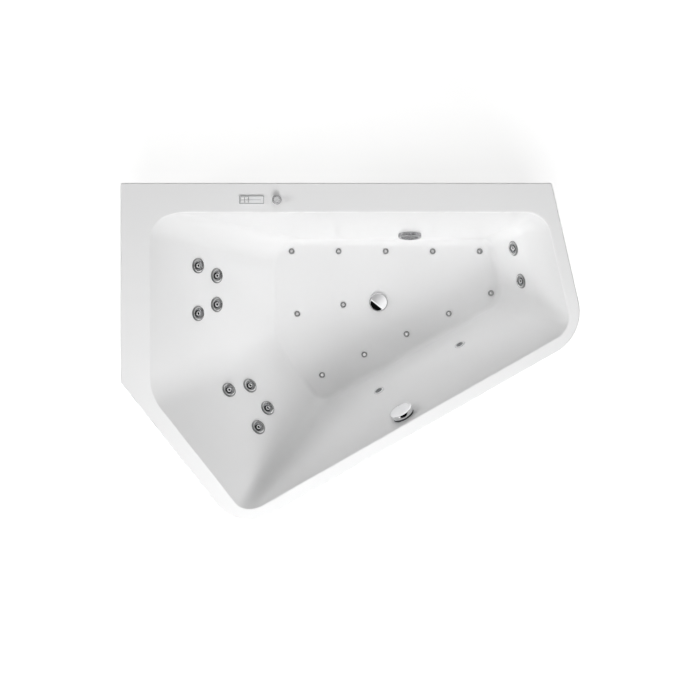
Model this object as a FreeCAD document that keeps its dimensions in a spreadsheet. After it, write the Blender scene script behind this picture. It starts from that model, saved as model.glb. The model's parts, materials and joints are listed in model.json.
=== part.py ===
import FreeCAD, Part
import math
import os
import re
import Sketcher

# Corner jetted bath for two, made as it is sold: an acrylic shell on a steel frame, with its waste
# and overflow, water jets, floor air jets, lamps, pump, blower and controls.
# The plan is measured from the room corner: "along" runs right on the back wall, "out" runs away from it.

vec = FreeCAD.Vector
up = vec(0, 0, 1)

sizes = {
    # rim outline, sharp corners before rounding
    "back_edge": 1662, "left_edge": 769,
    "right_corner_along": 1796, "right_corner_out": 587,
    "front_corner_along": 457, "front_corner_out": 1348.5,
    "right_corner_round": 180, "front_corner_round": 165, "wall_corner_round": 8,
    # rim and shell
    "rim_height": 600, "shell_wall": 6, "skirt_drop": 40,
    "rim_back": 115, "rim_left": 115, "rim_shoulder": 60, "rim_front": 48, "rim_right": 48,
    "rim_edge_round": 5, "mouth_edge_round": 8,
    # basin: how far each wall runs in on its way down
    "floor_height": 140,
    "back_run": 81, "left_run": 464, "shoulder_run": 487, "front_run": 222,
    "right_run": 85, "ramp_start_share": 0.52, "ramp_run": 115, "ramp_blend": 250,
    "round_back_left": 105, "round_back_right": 110, "round_right_front": 100,
    "round_back_foot": 46, "round_front_shoulder": 90, "round_shoulder_left": 290, "floor_round": 34,
    # fits
    "fit_gap": 0.3, "hole_gap": 0.5, "run_gap": 0.06, "overrun": 20,
    # frame of steel box section
    "frame_inset": 17, "tube_width": 20, "rail_height": 30, "board_thick": 12,
    "board_side_inset": 120, "board_end_inset": 60,
    "long_bar_out": 320, "slant_bar_in": 440,
    # apron of bent acrylic sheet
    "apron_inset": 8, "apron_thick": 5, "apron_foot": 20, "apron_end_gap": 16,
    "clip_height": 40, "clip_low": 170, "clip_high": 500,
    # levelling feet
    "spindle_radius": 5, "foot_radius": 24, "foot_edge": 8, "foot_neck": 12, "foot_height": 14,
    "foot_socket": 5, "nut_radius": 9.8, "nut_height": 8,
    # tray under the machines
    "tray_thick": 3, "tray_along": 430, "tray_start": 180, "tray_end": 930,
    # waste in the floor
    "drain_along": 1001, "drain_out": 450,
    "drain_flange_radius": 36, "drain_flange_thick": 2.5, "drain_bore": 22, "drain_barrel": 27,
    "drain_barrel_length": 26, "cover_radius": 39, "cover_height": 10, "cover_wall": 4,
    "cover_round": 4, "stem_radius": 4, "stem_length": 58,
    "seal_thick": 3, "waste_flange": 42, "waste_flange_thick": 5, "waste_radius": 33, "waste_length": 66,
    "bridge_width": 11, "bridge_height": 6, "bridge_depth": 42,
    "trap_radius": 46, "trap_length": 50, "trap_well": 34, "outlet_radius": 20, "outlet_bore": 17,
    "outlet_length": 230, "outlet_bore_length": 50, "outlet_rise": 22, "outlet_hub": 25,
    "outlet_hub_reach": 60,
    # overflow and its knob
    "overflow_along": 765, "overflow_depth": 65, "overflow_hole": 24, "overflow_flange": 33,
    "overflow_flange_thick": 4, "overflow_barrel": 20, "hub_radius": 10, "hub_length": 30,
    "knob_radius": 46, "knob_gap": 8, "knob_top": 27, "knob_wall": 3.5, "knob_round": 3,
    "knob_inner_round": 1, "overflow_body": 34, "overflow_body_length": 50, "overflow_body_wall": 5,
    "overflow_slot": 3.5, "overflow_slot_ring": 15,
    "overflow_pipe": 15, "overflow_pipe_height": 48, "overflow_bend": 55,
    "cable_radius": 3.5, "cable_shift": 24, "cable_height": 58, "cable_bend": 70,
    # water jets
    "left_jets_along": 362.5, "left_jets_depth": 170, "shoulder_jets_along": 367,
    "shoulder_jets_depth": 224, "jets_row_drop": 68.5, "jets_outer_half": 94, "jets_inner_half": 57,
    "foot_jets_along": 271, "foot_jets_half": 67, "foot_jets_share": 0.34,
    "jet_ring": 30, "jet_ring_height": 6, "jet_ring_round": 3.5, "jet_lip_round": 1.5,
    "jet_body": 18.5, "jet_body_length": 64, "jet_recess": 2, "jet_socket_depth": 23,
    "jet_nut": 28, "jet_nut_height": 9, "jet_nut_round": 2,
    "ball_radius": 14, "ball_depth": 10, "ball_cut_angle": 48, "nozzle_radius": 8.5, "nozzle_bore": 5,
    "nozzle_rise": 4.5, "nozzle_round": 1.2,
    # pipes to the jets
    "water_back": 48, "water_pipe": 11, "water_bend": 36, "jet_air_back": 29, "jet_air_pipe": 5,
    "air_bend": 26, "row_reach": 52, "tee_gap": 1.5, "link_clear": 15,
    "foot_feed_out": 95, "foot_feed_height": 368, "foot_air_height": 486,
    # lamps in the front wall
    "lamps_along": 614.5, "lamps_half": 186.5, "lamps_rise": 142, "lamp_flange": 22,
    "lamp_flange_thick": 3, "lamp_flange_round": 1.5, "lamp_barrel": 17, "lamp_length": 30,
    "lens_radius": 15, "lens_seat": 4, "lens_rise": 2, "lens_round": 1.5,
    # suction strainer in the back wall
    "suction_along": 1125, "suction_rise": 100, "suction_cover": 47, "suction_cover_height": 14,
    "suction_cover_wall": 3, "suction_cover_round": 11, "slot_width": 4, "slot_length": 56,
    "slot_pitch": 9, "suction_body": 30, "suction_body_wall": 5, "suction_body_length": 82,
    "suction_nut": 42, "suction_nut_height": 10, "suction_pipe": 22, "suction_back": 48,
    "suction_bend": 55,
    # air jets in the floor
    "back_row_along": 647, "back_row_out": 242, "air_pitch": 191.5, "front_row_along": 771,
    "front_row_out": 746, "front_row_end_along": 1459, "front_row_end_out": 412,
    "middle_along": 670, "middle_out": 497, "middle_end_along": 857, "middle_end_out": 460,
    "air_cap": 12, "air_cap_height": 4, "air_cap_round": 1.5, "air_groove_in": 6.5,
    "air_groove_out": 8.5, "air_groove": 2, "air_stem": 4.8, "air_stem_length": 12, "air_barrel": 8,
    "air_nut": 11, "air_nut_height": 8, "air_block": 13, "air_line": 10, "air_line_height": 76,
    "air_header_along": 605,
    # pump
    "pump_inlet_out": 205, "pump_stub": 28, "pump_stub_length": 20, "volute_radius": 72,
    "volute_length": 46, "volute_wall": 8, "inlet_bore": 20, "chamber_gap": 4, "volute_round": 10,
    "discharge_radius": 20, "discharge_side": 40, "discharge_height": 104,
    "motor_radius": 58, "motor_length": 180, "fin_height": 8, "fin_thick": 3, "motor_flange": 5,
    "shaft_radius": 8, "impeller_thick": 5, "vane_height": 12, "vane_thick": 4, "fan_thick": 4,
    "fan_blade_height": 14, "fan_gap": 6, "fan_cover_length": 46, "fan_cover_wall": 2.5,
    "fan_cover_round": 10, "fan_slot_width": 5, "fan_slot_length": 26, "fan_slot_ring": 16,
    "base_width": 130, "base_plate": 5, "saddle_thick": 22, "base_length": 150,
    "terminal_width": 70, "terminal_length": 90, "terminal_height": 92, "terminal_round": 6,
    # blower
    "blower_along": 300, "blower_out": 800, "blower_radius": 84, "blower_height": 96,
    "blower_round": 18, "blower_foot": 62, "blower_foot_height": 8, "blower_cap": 58,
    "blower_cap_height": 52, "blower_cap_round": 14, "blower_outlet": 20, "blower_outlet_reach": 132,
    "blower_outlet_height": 50, "riser_along": 470, "riser_bend": 32,
    # control panel on the rim
    "panel_along": 506, "panel_out": 66, "panel_length": 97, "panel_width": 33, "panel_height": 4,
    "panel_round": 3, "panel_tub_length": 84, "panel_tub_width": 24, "panel_tub_depth": 22,
    "key_length": 13, "key_width": 10, "key_pitch_along": 15, "key_pitch_out": 12, "key_shift": 27,
    "key_rise": 1.4, "key_depth": 6, "key_round": 1.2, "key_travel": 1,
    "window_length": 42, "window_width": 14, "window_shift": 16, "window_depth": 2,
    # air regulator on the rim
    "air_knob_along": 603, "air_base": 18, "air_base_height": 4, "air_base_round": 2,
    "air_knob": 14.5, "air_knob_height": 15, "air_knob_round": 2.5, "flute_radius": 2.5,
    "air_shaft": 5, "air_shaft_length": 24, "air_valve": 13, "air_valve_length": 74,
    # control box on the back upright
    "box_length": 220, "box_depth": 56, "box_height": 140, "box_foot": 200,
    "gland_radius": 11, "gland_bore": 6, "gland_length": 22,
    # counts
    "fin_count": 20, "vane_count": 6, "blade_count": 8, "fan_slot_count": 10, "flute_count": 12,
    "slot_count": 9, "row_count": 5, "overflow_slot_count": 6,
}

doc = FreeCAD.newDocument("jetted_bathtub")
sheet = doc.addObject("Spreadsheet::Sheet", "Sizes")
for row, (alias, value) in enumerate(sizes.items(), start=1):
    sheet.set("A%d" % row, alias)
    sheet.set("B%d" % row, str(value))
    sheet.setAlias("B%d" % row, alias)
doc.recompute()
nodes = []


def size(alias):
    return float(sheet.get(alias))


def bound(text):
    # every alias in a formula becomes a reference to its cell
    return re.sub(r"[a-z_]+",
                  lambda word: "Sizes." + word.group() if word.group() in sizes else word.group(), text)


def keep(item, label):
    item.Label = label
    nodes.append(item)
    return item


def made(label, shape, placement=None):
    item = doc.addObject("Part::Feature", label)
    item.Shape = shape
    if placement:
        item.Placement = placement
    return keep(item, label)


def placed(shape, placement):
    copy = shape.copy()
    copy.Placement = placement.multiply(shape.Placement)
    return copy


def group(label, master, places):
    return made(label, Part.makeCompound([placed(master.Shape, place) for place in places]))


# Bodies: sketches whose every corner is bound to the sheet

def origin_plane(body, role):
    return next(item for item in body.Origin.OriginFeatures if item.Role == role)


def outline_sketch(body, name, corners, plane):
    sketch = body.newObject("Sketcher::SketchObject", name)
    sketch.AttachmentSupport = (origin_plane(body, plane), [""])
    sketch.MapMode = "FlatFace"
    count = len(corners)
    turn = 2 * math.pi / count
    start = [vec(math.cos(turn * i), math.sin(turn * i), 0) * size("overrun") for i in range(count)]
    sketch.addGeometry([Part.LineSegment(start[i], start[(i + 1) % count]) for i in range(count)], False)
    rules = [Sketcher.Constraint("Coincident", i, 2, (i + 1) % count, 1) for i in range(count)]
    formulas = {}
    for i, corner in enumerate(corners):
        for word, text, axis, value in (("DistanceX", corner[0], -2, start[i].x),
                                        ("DistanceY", corner[1], -1, start[i].y)):
            if text == "0":
                rules.append(Sketcher.Constraint("PointOnObject", i, 1, axis))
            else:
                formulas[len(rules)] = text
                rules.append(Sketcher.Constraint(word, -1, 1, i, 1, value))
    sketch.addConstraint(rules)
    for index, text in formulas.items():
        sketch.setExpression("Constraints[%d]" % index, bound(text))
    doc.recompute()
    return sketch


def add_round(body, edges, radius):
    base = body.Tip
    fillet = body.newObject("PartDesign::Fillet", body.Name + "_round")
    fillet.Base = (base, edges)
    fillet.setExpression("Radius", bound(radius))
    doc.recompute()
    return fillet


def turned(name, profile, rounds=None):
    # a lathe profile of (radius, height) corners; rounds gives the fillet on a numbered corner
    body = doc.addObject("PartDesign::Body", name)
    sketch = outline_sketch(body, name + "_profile", profile, "XZ_Plane")
    lathe = body.newObject("PartDesign::Revolution", name + "_turn")
    lathe.Profile = sketch
    lathe.ReferenceAxis = (sketch, ["V_Axis"])
    lathe.Angle = 360
    doc.recompute()
    corners = [line.StartPoint for line in sketch.Geometry]
    for index, radius in (rounds or {}).items():
        spot = corners[index]
        found = []
        for number, edge in enumerate(body.Tip.Shape.Edges, start=1):
            if hasattr(edge.Curve, "Radius"):
                centre = edge.Curve.Center
                if math.hypot(edge.Curve.Radius - spot.x, centre.z - spot.y) < size("fit_gap") / 2:
                    found.append("Edge%d" % number)
        add_round(body, found, radius)
    return body


def add_pocket(body, name, corners, depth, pattern, reverse=False):
    # a pocket cut from the body's own XY plane, then repeated by a pattern
    sketch = outline_sketch(body, name, corners, "XY_Plane")
    pocket = body.newObject("PartDesign::Pocket", name + "_cut")
    pocket.Profile = sketch
    pocket.setExpression("Length", bound(depth))
    pocket.Reversed = reverse
    doc.recompute()
    return repeat(body, pocket, sketch, pattern)


def add_pad(body, name, corners, height, pattern, plane_height):
    sketch = outline_sketch(body, name, corners, "XY_Plane")
    sketch.setExpression(".AttachmentOffset.Base.z", bound(plane_height))
    pad = body.newObject("PartDesign::Pad", name + "_pad")
    pad.Profile = sketch
    pad.setExpression("Length", bound(height))
    doc.recompute()
    return repeat(body, pad, sketch, pattern)


def repeat(body, feature, sketch, pattern):
    kind, number, reach = pattern
    if kind == "round":
        copies = body.newObject("PartDesign::PolarPattern", feature.Name + "_ring")
        copies.Axis = (sketch, ["N_Axis"])
        copies.Angle = 360
    else:
        copies = body.newObject("PartDesign::LinearPattern", feature.Name + "_row")
        copies.Direction = (sketch, ["H_Axis"])
        copies.setExpression("Length", bound(reach))
    copies.Originals = [feature]
    copies.setExpression("Occurrences", bound(number))
    body.Tip = copies
    doc.recompute()
    return copies


def block(name, length, width, height):
    # a box whose base is centred on its own origin
    box = doc.addObject("Part::Box", name)
    box.setExpression("Length", bound(length))
    box.setExpression("Width", bound(width))
    box.setExpression("Height", bound(height))
    box.setExpression("Placement.Base.x", bound("-(%s)/2" % length))
    box.setExpression("Placement.Base.y", bound("-(%s)/2" % width))
    return box


def rod(name, radius, height, low="0"):
    cylinder = doc.addObject("Part::Cylinder", name)
    cylinder.setExpression("Radius", bound(radius))
    cylinder.setExpression("Height", bound(height))
    cylinder.setExpression("Placement.Base.z", bound(low))
    return cylinder


def joined(kind, name, base, tool):
    result = doc.addObject("Part::" + kind, name)
    result.Base = base
    result.Tool = tool
    doc.recompute()
    return result


def rounded_edges(name, base, radius, wanted):
    fillet = doc.addObject("Part::Fillet", name)
    fillet.Base = base
    fillet.Edges = [(number, size(radius), size(radius))
                    for number, edge in enumerate(base.Shape.Edges, start=1) if wanted(edge)]
    doc.recompute()
    return fillet


def upright_edge(edge):
    start, end = edge.Vertexes[0].Point, edge.Vertexes[-1].Point
    rise, sideways = abs(start.z - end.z), math.hypot(start.x - end.x, start.y - end.y)
    return rise > size("fit_gap") > sideways


# Plan geometry: the five sides of the rim, clockwise from the room corner

def plan(along, out, height=0):
    return vec(along - centre.x, centre.y - out, height)


def crossing(point_a, way_a, point_b, way_b):
    spread = way_a.x * way_b.y - way_a.y * way_b.x
    gap = point_b - point_a
    return point_a + way_a * ((gap.x * way_b.y - gap.y * way_b.x) / spread)


def rounded_wire(corners, rounds, height):
    edges = []
    starts, ends, middles = [], [], []
    count = len(corners)
    for i, corner in enumerate(corners):
        back = (corners[i - 1] - corner).normalize()
        on = (corners[(i + 1) % count] - corner).normalize()
        half = back.getAngle(on) / 2
        reach = rounds[i] / math.tan(half)
        heart = corner + (back + on).normalize() * (rounds[i] / math.sin(half))
        starts.append(corner + back * reach)
        ends.append(corner + on * reach)
        middles.append(heart + (corner - heart).normalize() * rounds[i])
    lift = up * height
    for i in range(count):
        edges.append(Part.Arc(starts[i] + lift, middles[i] + lift, ends[i] + lift).toShape())
        edges.append(Part.LineSegment(ends[i] + lift, starts[(i + 1) % count] + lift).toShape())
    return Part.Wire(edges)


centre = vec(0, 0, 0)
side_names = ["back", "right", "front", "shoulder", "left"]


def rim_corners():
    return [plan(0, 0), plan(size("back_edge"), 0),
            plan(size("right_corner_along"), size("right_corner_out")),
            plan(size("front_corner_along"), size("front_corner_out")), plan(0, size("left_edge"))]


corner_rounds = [size("wall_corner_round"), size("wall_corner_round"), size("right_corner_round"),
                 size("front_corner_round"), size("wall_corner_round")]
frame_box = rounded_wire(rim_corners(), corner_rounds, 0).optimalBoundingBox(False, False)
centre = vec(frame_box.Center.x, -frame_box.Center.y, 0)
rim_points = rim_corners()
depth = size("rim_height") - size("floor_height")
ramp_start = depth * size("ramp_start_share")
wall = size("shell_wall")

sides = {}
for index, name in enumerate(side_names):
    start = rim_points[index]
    way = (rim_points[(index + 1) % len(rim_points)] - start)
    reach = way.Length
    way.normalize()
    run = size(name + "_run")
    drop = ramp_start if name == "right" else depth
    sides[name] = {"start": start, "way": way, "inward": vec(way.y, -way.x, 0), "length": reach,
                   "rim": size("rim_" + name), "top": 0, "lean": run / drop}
sides["ramp"] = dict(sides["right"])
sides["ramp"].update({"rim": size("rim_right") + size("right_run"), "top": ramp_start,
                      "lean": size("ramp_run") / (depth - ramp_start)})


def wall_offset(side, down):
    return side["rim"] + (down - side["top"]) * side["lean"]


def wall_normal(side):
    return (side["inward"] + up * side["lean"]).normalize()


def seat(side_name, along, down):
    # a fitting's own frame on a basin wall: X along the wall, Z out of it into the water
    side = sides[side_name]
    spot = side["start"] + side["way"] * along + side["inward"] * wall_offset(side, down)
    spot.z = size("rim_height") - down
    normal = wall_normal(side)
    return FreeCAD.Placement(spot, FreeCAD.Rotation(side["way"], normal.cross(side["way"]), normal, "ZXY"))


def floor_seat(along, out):
    return FreeCAD.Placement(plan(along, out, size("floor_height")), FreeCAD.Rotation())


def rim_seat(along, out):
    return FreeCAD.Placement(plan(along, out, size("rim_height")), FreeCAD.Rotation())


def inset_corners(distances):
    points = []
    for i, name in enumerate(side_names):
        last, this = sides[side_names[i - 1]], sides[name]
        points.append(crossing(last["start"] + last["inward"] * distances[i - 1], last["way"],
                               this["start"] + this["inward"] * distances[i], this["way"]))
    return points


def inset_wire(inset, height):
    rounds = [max(radius - inset, size("fit_gap")) for radius in corner_rounds]
    return rounded_wire(inset_corners([inset] * len(side_names)), rounds, height)


def slab(wire, height):
    return Part.Face(wire).extrude(up * height)


def laid_pipe(points, radius, bend):
    # a round pipe as it is laid: straight lengths with an elbow between each two
    def straight(start, finish):
        return Part.makeCylinder(radius, (finish - start).Length, start, finish - start)

    pieces = []
    last = points[0]
    for i in range(1, len(points) - 1):
        back = (points[i - 1] - points[i]).normalize()
        on = (points[i + 1] - points[i]).normalize()
        half = back.getAngle(on) / 2
        if half > math.radians(89.5):
            continue
        reach = bend / math.tan(half)
        heart = points[i] + (back + on).normalize() * (bend / math.sin(half))
        enter, leave = points[i] + back * reach, points[i] + on * reach
        middle = heart + (points[i] - heart).normalize() * bend
        ring = Part.Wire(Part.makeCircle(radius, enter, back))
        pieces.append(straight(last, enter))
        pieces.append(Part.Wire(Part.Arc(enter, middle, leave).toShape()).makePipeShell([ring], True, False))
        last = leave
    pieces.append(straight(last, points[-1]))
    return pieces


def largest(shape):
    return max(shape.Solids, key=lambda solid: solid.Volume)


def clear_of(piece, others):
    near = [other for other in others if other.BoundBox.intersect(piece.BoundBox)]
    return piece.cut(near) if near else piece


def branched(runs):
    # each run starts on the wall of the runs before it, as at a tee
    pieces = list(runs[0])
    for run in runs[1:]:
        pieces += [largest(clear_of(piece, pieces)) for piece in run]
    return pieces


def parted(pieces, fittings):
    # the lengths of pipe that are left between the fittings they feed
    return Part.makeCompound([part for piece in pieces for part in clear_of(piece, fittings).Solids])


def outside(pieces, fittings):
    return Part.makeCompound([largest(clear_of(piece, fittings)) for piece in pieces])


# Shell: a convex basin cut from plain walls, rounded, hung in a rim with a turned-down skirt

basin_rounds = {("back", "left"): "round_back_left", ("front", "right"): "round_right_front",
                ("front", "ramp"): "round_right_front", ("front", "shoulder"): "round_front_shoulder",
                ("left", "shoulder"): "round_shoulder_left"}


def basin(grow, top):
    far = 2 * (size("back_edge") + size("front_corner_out"))
    low = size("floor_height") - grow
    solid = Part.makeBox(far, far, top - low, vec(-far / 2, -far / 2, low))
    normals = {"floor": -up}
    for name, side in sides.items():
        normals[name] = -wall_normal(side)
        spot = side["start"] + side["inward"] * side["rim"] + up * (size("rim_height") - side["top"])
        beyond = Part.makeBox(far, far, far, vec(-far / 2, -far / 2, 0))
        beyond.Placement = FreeCAD.Placement(spot + normals[name] * grow,
                                             FreeCAD.Rotation(up, normals[name]))
        solid = solid.cut(beyond)

    def walls_at(edge):
        found = []
        for face in solid.ancestorsOfType(edge, Part.Face):
            if isinstance(face.Surface, Part.Plane):
                way = face.normalAt(0, 0)
                found += [name for name,
                          normal in normals.items() if way.dot(normal) > math.cos(math.radians(0.5))]
        return tuple(sorted(found))

    def on_blend(edge):
        return any(abs(getattr(face.Surface, "Radius", 0) - size("ramp_blend") - grow) < size("fit_gap")
                   for face in solid.ancestorsOfType(edge, Part.Face))

    solid = solid.makeFillet(size("ramp_blend") + grow,
                             [edge for edge in solid.Edges if walls_at(edge) == ("ramp", "right")])
    for radius in sorted(set(basin_rounds.values())):
        pairs = [pair for pair, name in basin_rounds.items() if name == radius]
        chosen = [edge for edge in solid.Edges if walls_at(edge) in pairs]
        solid = solid.makeFillet(size(radius) + grow, chosen)

    # the corner behind the foot jets draws in on its way down, which leaves the jets a flat wall
    sharp = doc.addObject("Part::Feature", "basin_sharp")
    sharp.Shape = solid
    taper = doc.addObject("Part::Fillet", "basin_taper")
    taper.Base = sharp
    wide, narrow = size("round_back_right") + grow, size("round_back_foot") + grow
    chosen = []
    for number, edge in enumerate(solid.Edges, start=1):
        if walls_at(edge) == ("back", "right"):
            rising = edge.lastVertex(True).Z > edge.firstVertex(True).Z
            chosen.append((number, narrow, wide) if rising else (number, wide, narrow))
        elif walls_at(edge) == ("back", "ramp") or (walls_at(edge) == ("back",) and on_blend(edge)):
            chosen.append((number, narrow, narrow))
    taper.Edges = chosen
    doc.recompute()
    solid = taper.Shape
    floor_loop = [edge for edge in solid.Edges if edge.BoundBox.ZMax < low + size("fit_gap")]
    return solid.makeFillet(size("floor_round") + grow, floor_loop)


rim_top = size("rim_height")
rim_solid = slab(rounded_wire(rim_points, corner_rounds, rim_top - size("skirt_drop")), size("skirt_drop"))
rim_edge = [edge for edge in rim_solid.Edges if edge.BoundBox.ZMin > rim_top - size("fit_gap")]
rim_solid = rim_solid.makeFillet(size("rim_edge_round"), rim_edge)
rim_hollow = slab(inset_wire(wall, rim_top - size("skirt_drop") - wall), size("skirt_drop"))
cavity = basin(0, rim_top + size("overrun"))
shell = rim_solid.cut(rim_hollow).fuse(basin(wall, rim_top - wall / 2)).cut(cavity).removeSplitter()


def on_mouth(edge):
    box = edge.BoundBox
    inside = all(sides[name]["inward"].dot(edge.CenterOfMass - sides[name]["start"]) > sides[name]["rim"] / 2
                 for name in side_names)
    return box.ZMin > rim_top - size("fit_gap") and inside


shell = shell.makeFillet(size("mouth_edge_round"), [edge for edge in shell.Edges if on_mouth(edge)])


# Where every fitting sits

def pair(side_name, middle, half, down):
    return [seat(side_name, middle - half, down), seat(side_name, middle + half, down)]


def jet_group(side_name):
    middle, top = size(side_name + "_jets_along"), size(side_name + "_jets_depth")
    return [pair(side_name, middle, size("jets_outer_half"), top),
            pair(side_name, middle, size("jets_inner_half"), top + size("jets_row_drop"))]


left_jets = jet_group("left")
shoulder_jets = jet_group("shoulder")
foot_jets_down = ramp_start + (depth - ramp_start) * size("foot_jets_share")
foot_jets = [pair("ramp", size("foot_jets_along"), size("foot_jets_half"), foot_jets_down)]
jet_groups = {"left": left_jets, "shoulder": shoulder_jets, "foot": foot_jets}
jet_seats = [place for rows in jet_groups.values() for row in rows for place in row]
lamp_seats = pair("front", size("lamps_along"), size("lamps_half"), depth - size("lamps_rise"))
overflow_seat = seat("front", size("overflow_along"), size("overflow_depth"))
suction_seat = seat("back", size("suction_along"), depth - size("suction_rise"))
drain_seat = floor_seat(size("drain_along"), size("drain_out"))
panel_seat = rim_seat(size("panel_along"), size("panel_out"))
air_knob_seat = rim_seat(size("air_knob_along"), size("panel_out"))


def between(first, last, number):
    steps = number - 1
    return [floor_seat(first[0] + (last[0] - first[0]) * i / steps,
                       first[1] + (last[1] - first[1]) * i / steps)
            for i in range(number)]


row_count = int(size("row_count"))
back_row_start = (size("back_row_along"), size("back_row_out"))
back_row_end = (back_row_start[0] + size("air_pitch") * (row_count - 1), back_row_start[1])
front_row_start = (size("front_row_along"), size("front_row_out"))
front_row_end = (size("front_row_end_along"), size("front_row_end_out"))
middle_start = (size("middle_along"), size("middle_out"))
middle_end = (size("middle_end_along"), size("middle_end_out"))
middle_seats = between(middle_start, middle_end, 2)
air_seats = (between(back_row_start, back_row_end, row_count) + middle_seats
             + between(front_row_start, front_row_end, row_count))


# Holes through the shell, each a little wider than what passes through it

def hole(place, radius):
    reach = size("overrun")
    drill = Part.makeCylinder(radius + size("hole_gap"), 2 * reach, vec(0, 0, -reach))
    return placed(drill, place)


def centred_box(length, width, height, place, low=0):
    return placed(Part.makeBox(length, width, height, vec(-length / 2, -width / 2, low)), place)


drills = [hole(place, size("jet_body")) for place in jet_seats]
drills += [hole(place, size("lamp_barrel")) for place in lamp_seats]
drills += [hole(place, size("air_barrel")) for place in air_seats]
drills.append(hole(overflow_seat, size("overflow_hole")))
drills.append(hole(suction_seat, size("suction_body")))
drills.append(hole(drain_seat, size("drain_barrel")))
drills.append(hole(air_knob_seat, size("air_valve")))
slot_play = 2 * size("hole_gap")
drills.append(centred_box(size("panel_tub_length") + slot_play, size("panel_tub_width") + slot_play,
                          2 * size("overrun"), panel_seat, -size("overrun")))
made("tub_shell", shell.cut(drills))


# Steel frame: a ring of rails under the rim, two bars under the floor board, uprights to the rim

board_top = size("floor_height") - wall
bar_top = board_top - size("board_thick")
bar_low = bar_top - size("rail_height")
tube = size("tube_width")
rail_line = size("frame_inset") + tube / 2


def floor_line(name):
    return wall_offset(sides["ramp" if name == "right" else name], depth)


board_insets = {"back": "board_side_inset", "front": "board_side_inset", "right": "board_end_inset",
                "shoulder": "board_end_inset", "left": "board_end_inset"}
board_corners = inset_corners([floor_line(name) + size(board_insets[name]) for name in side_names])
board = slab(Part.makePolygon([point + up * bar_top for point in board_corners + board_corners[:1]]),
             size("board_thick"))
board = board.cut([hole(drain_seat, size("waste_flange"))]
                  + [hole(place, size("air_nut")) for place in middle_seats])
made("floor_board", board)


def ring_corners():
    # the rail ring cuts straight across the two rounded rim corners
    points = []
    corners = inset_corners([size("frame_inset")] * len(side_names))
    for i, corner in enumerate(corners):
        back = (corners[i - 1] - corner).normalize()
        on = (corners[(i + 1) % len(corners)] - corner).normalize()
        radius = corner_rounds[i] - size("frame_inset")
        if radius > tube:
            reach = radius / math.tan(back.getAngle(on) / 2)
            points += [corner + back * reach, corner + on * reach]
        else:
            points.append(corner)
    return points


def shrunk(points, inset):
    count = len(points)
    lines = []
    for i in range(count):
        way = (points[(i + 1) % count] - points[i]).normalize()
        lines.append((points[i] + vec(way.y, -way.x, 0) * inset, way))
    return [crossing(*lines[i - 1], *lines[i]) for i in range(count)]


def plate(points, low, height):
    return slab(Part.makePolygon([point + up * low for point in points + points[:1]]), height)


ring = ring_corners()
ring_inside = shrunk(ring, tube)
rails = []
for i in range(len(ring)):
    after = (i + 1) % len(ring)
    rails.append(plate([ring[i], ring[after], ring_inside[after], ring_inside[i]], bar_low,
                       size("rail_height")))

front = sides["front"]
inner_field = plate(ring_inside, bar_low, size("rail_height"))


def bar_between(side, inset):
    low_line = side["start"] + side["inward"] * (inset - tube / 2)
    far = side["way"] * side["length"]
    across = side["inward"] * tube
    return plate([low_line - far, low_line + far * 2, low_line + far * 2 + across, low_line - far + across],
                 bar_low, size("rail_height"))


slant_bar = bar_between(front, size("slant_bar_in")).common(inner_field)
long_bar = bar_between(sides["back"], size("long_bar_out")).common(inner_field).cut(slant_bar)
long_bar = min(long_bar.Solids, key=lambda solid: solid.CenterOfMass.x)

upright_shares = {"back": [0.05, 0.5, 0.95], "right": [0.42], "front": [0.24, 0.76], "shoulder": [0.5],
                  "left": [0.52]}
foot_shares = {"back": [0.08, 0.5, 0.92], "front": [0.17, 0.5, 0.83], "shoulder": [0.5], "left": [0.42]}


def rail_place(name, share, height):
    side = sides[name]
    spot = side["start"] + side["way"] * (side["length"] * share) + side["inward"] * rail_line + up * height
    return FreeCAD.Placement(spot, FreeCAD.Rotation(side["way"], side["inward"] * -1, up, "ZXY"))


def rail_places(shares, height):
    return [rail_place(name, share, height) for name in shares for share in shares[name]]


rim_under = rim_top - wall
uprights = [centred_box(tube, tube, rim_under - bar_top, place)
            for place in rail_places(upright_shares, bar_top)]
made("support_frame", Part.makeCompound(rails + [slant_bar, long_bar] + uprights))


# Levelling feet

spindle = rod("foot_spindle", "spindle_radius",
              "floor_height - shell_wall - board_thick - rail_height - foot_socket",
              "foot_socket")
foot_pad = turned("foot_pad", [("0", "0"), ("foot_radius", "0"), ("foot_radius", "foot_edge"),
                               ("foot_neck", "foot_height"), ("spindle_radius + fit_gap", "foot_height"),
                               ("spindle_radius + fit_gap", "foot_socket"), ("0", "foot_socket")])
nut_solid = doc.addObject("Part::Prism", "foot_nut_solid")
nut_solid.Polygon = 6
nut_solid.setExpression("Circumradius", bound("nut_radius"))
nut_solid.setExpression("Height", bound("nut_height"))
nut_bore = rod("foot_nut_bore", "spindle_radius + fit_gap", "nut_height")
foot_nut = joined("Cut", "foot_nut", nut_solid, nut_bore)
foot_places = rail_places(foot_shares, 0)
group("foot_spindles", spindle, foot_places)
group("foot_pads", foot_pad, foot_places)
group("foot_nuts", foot_nut, rail_places(foot_shares, bar_low - size("nut_height")))


# Apron: one bent sheet round the three free sides, hung behind the skirt and clipped to the uprights

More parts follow.
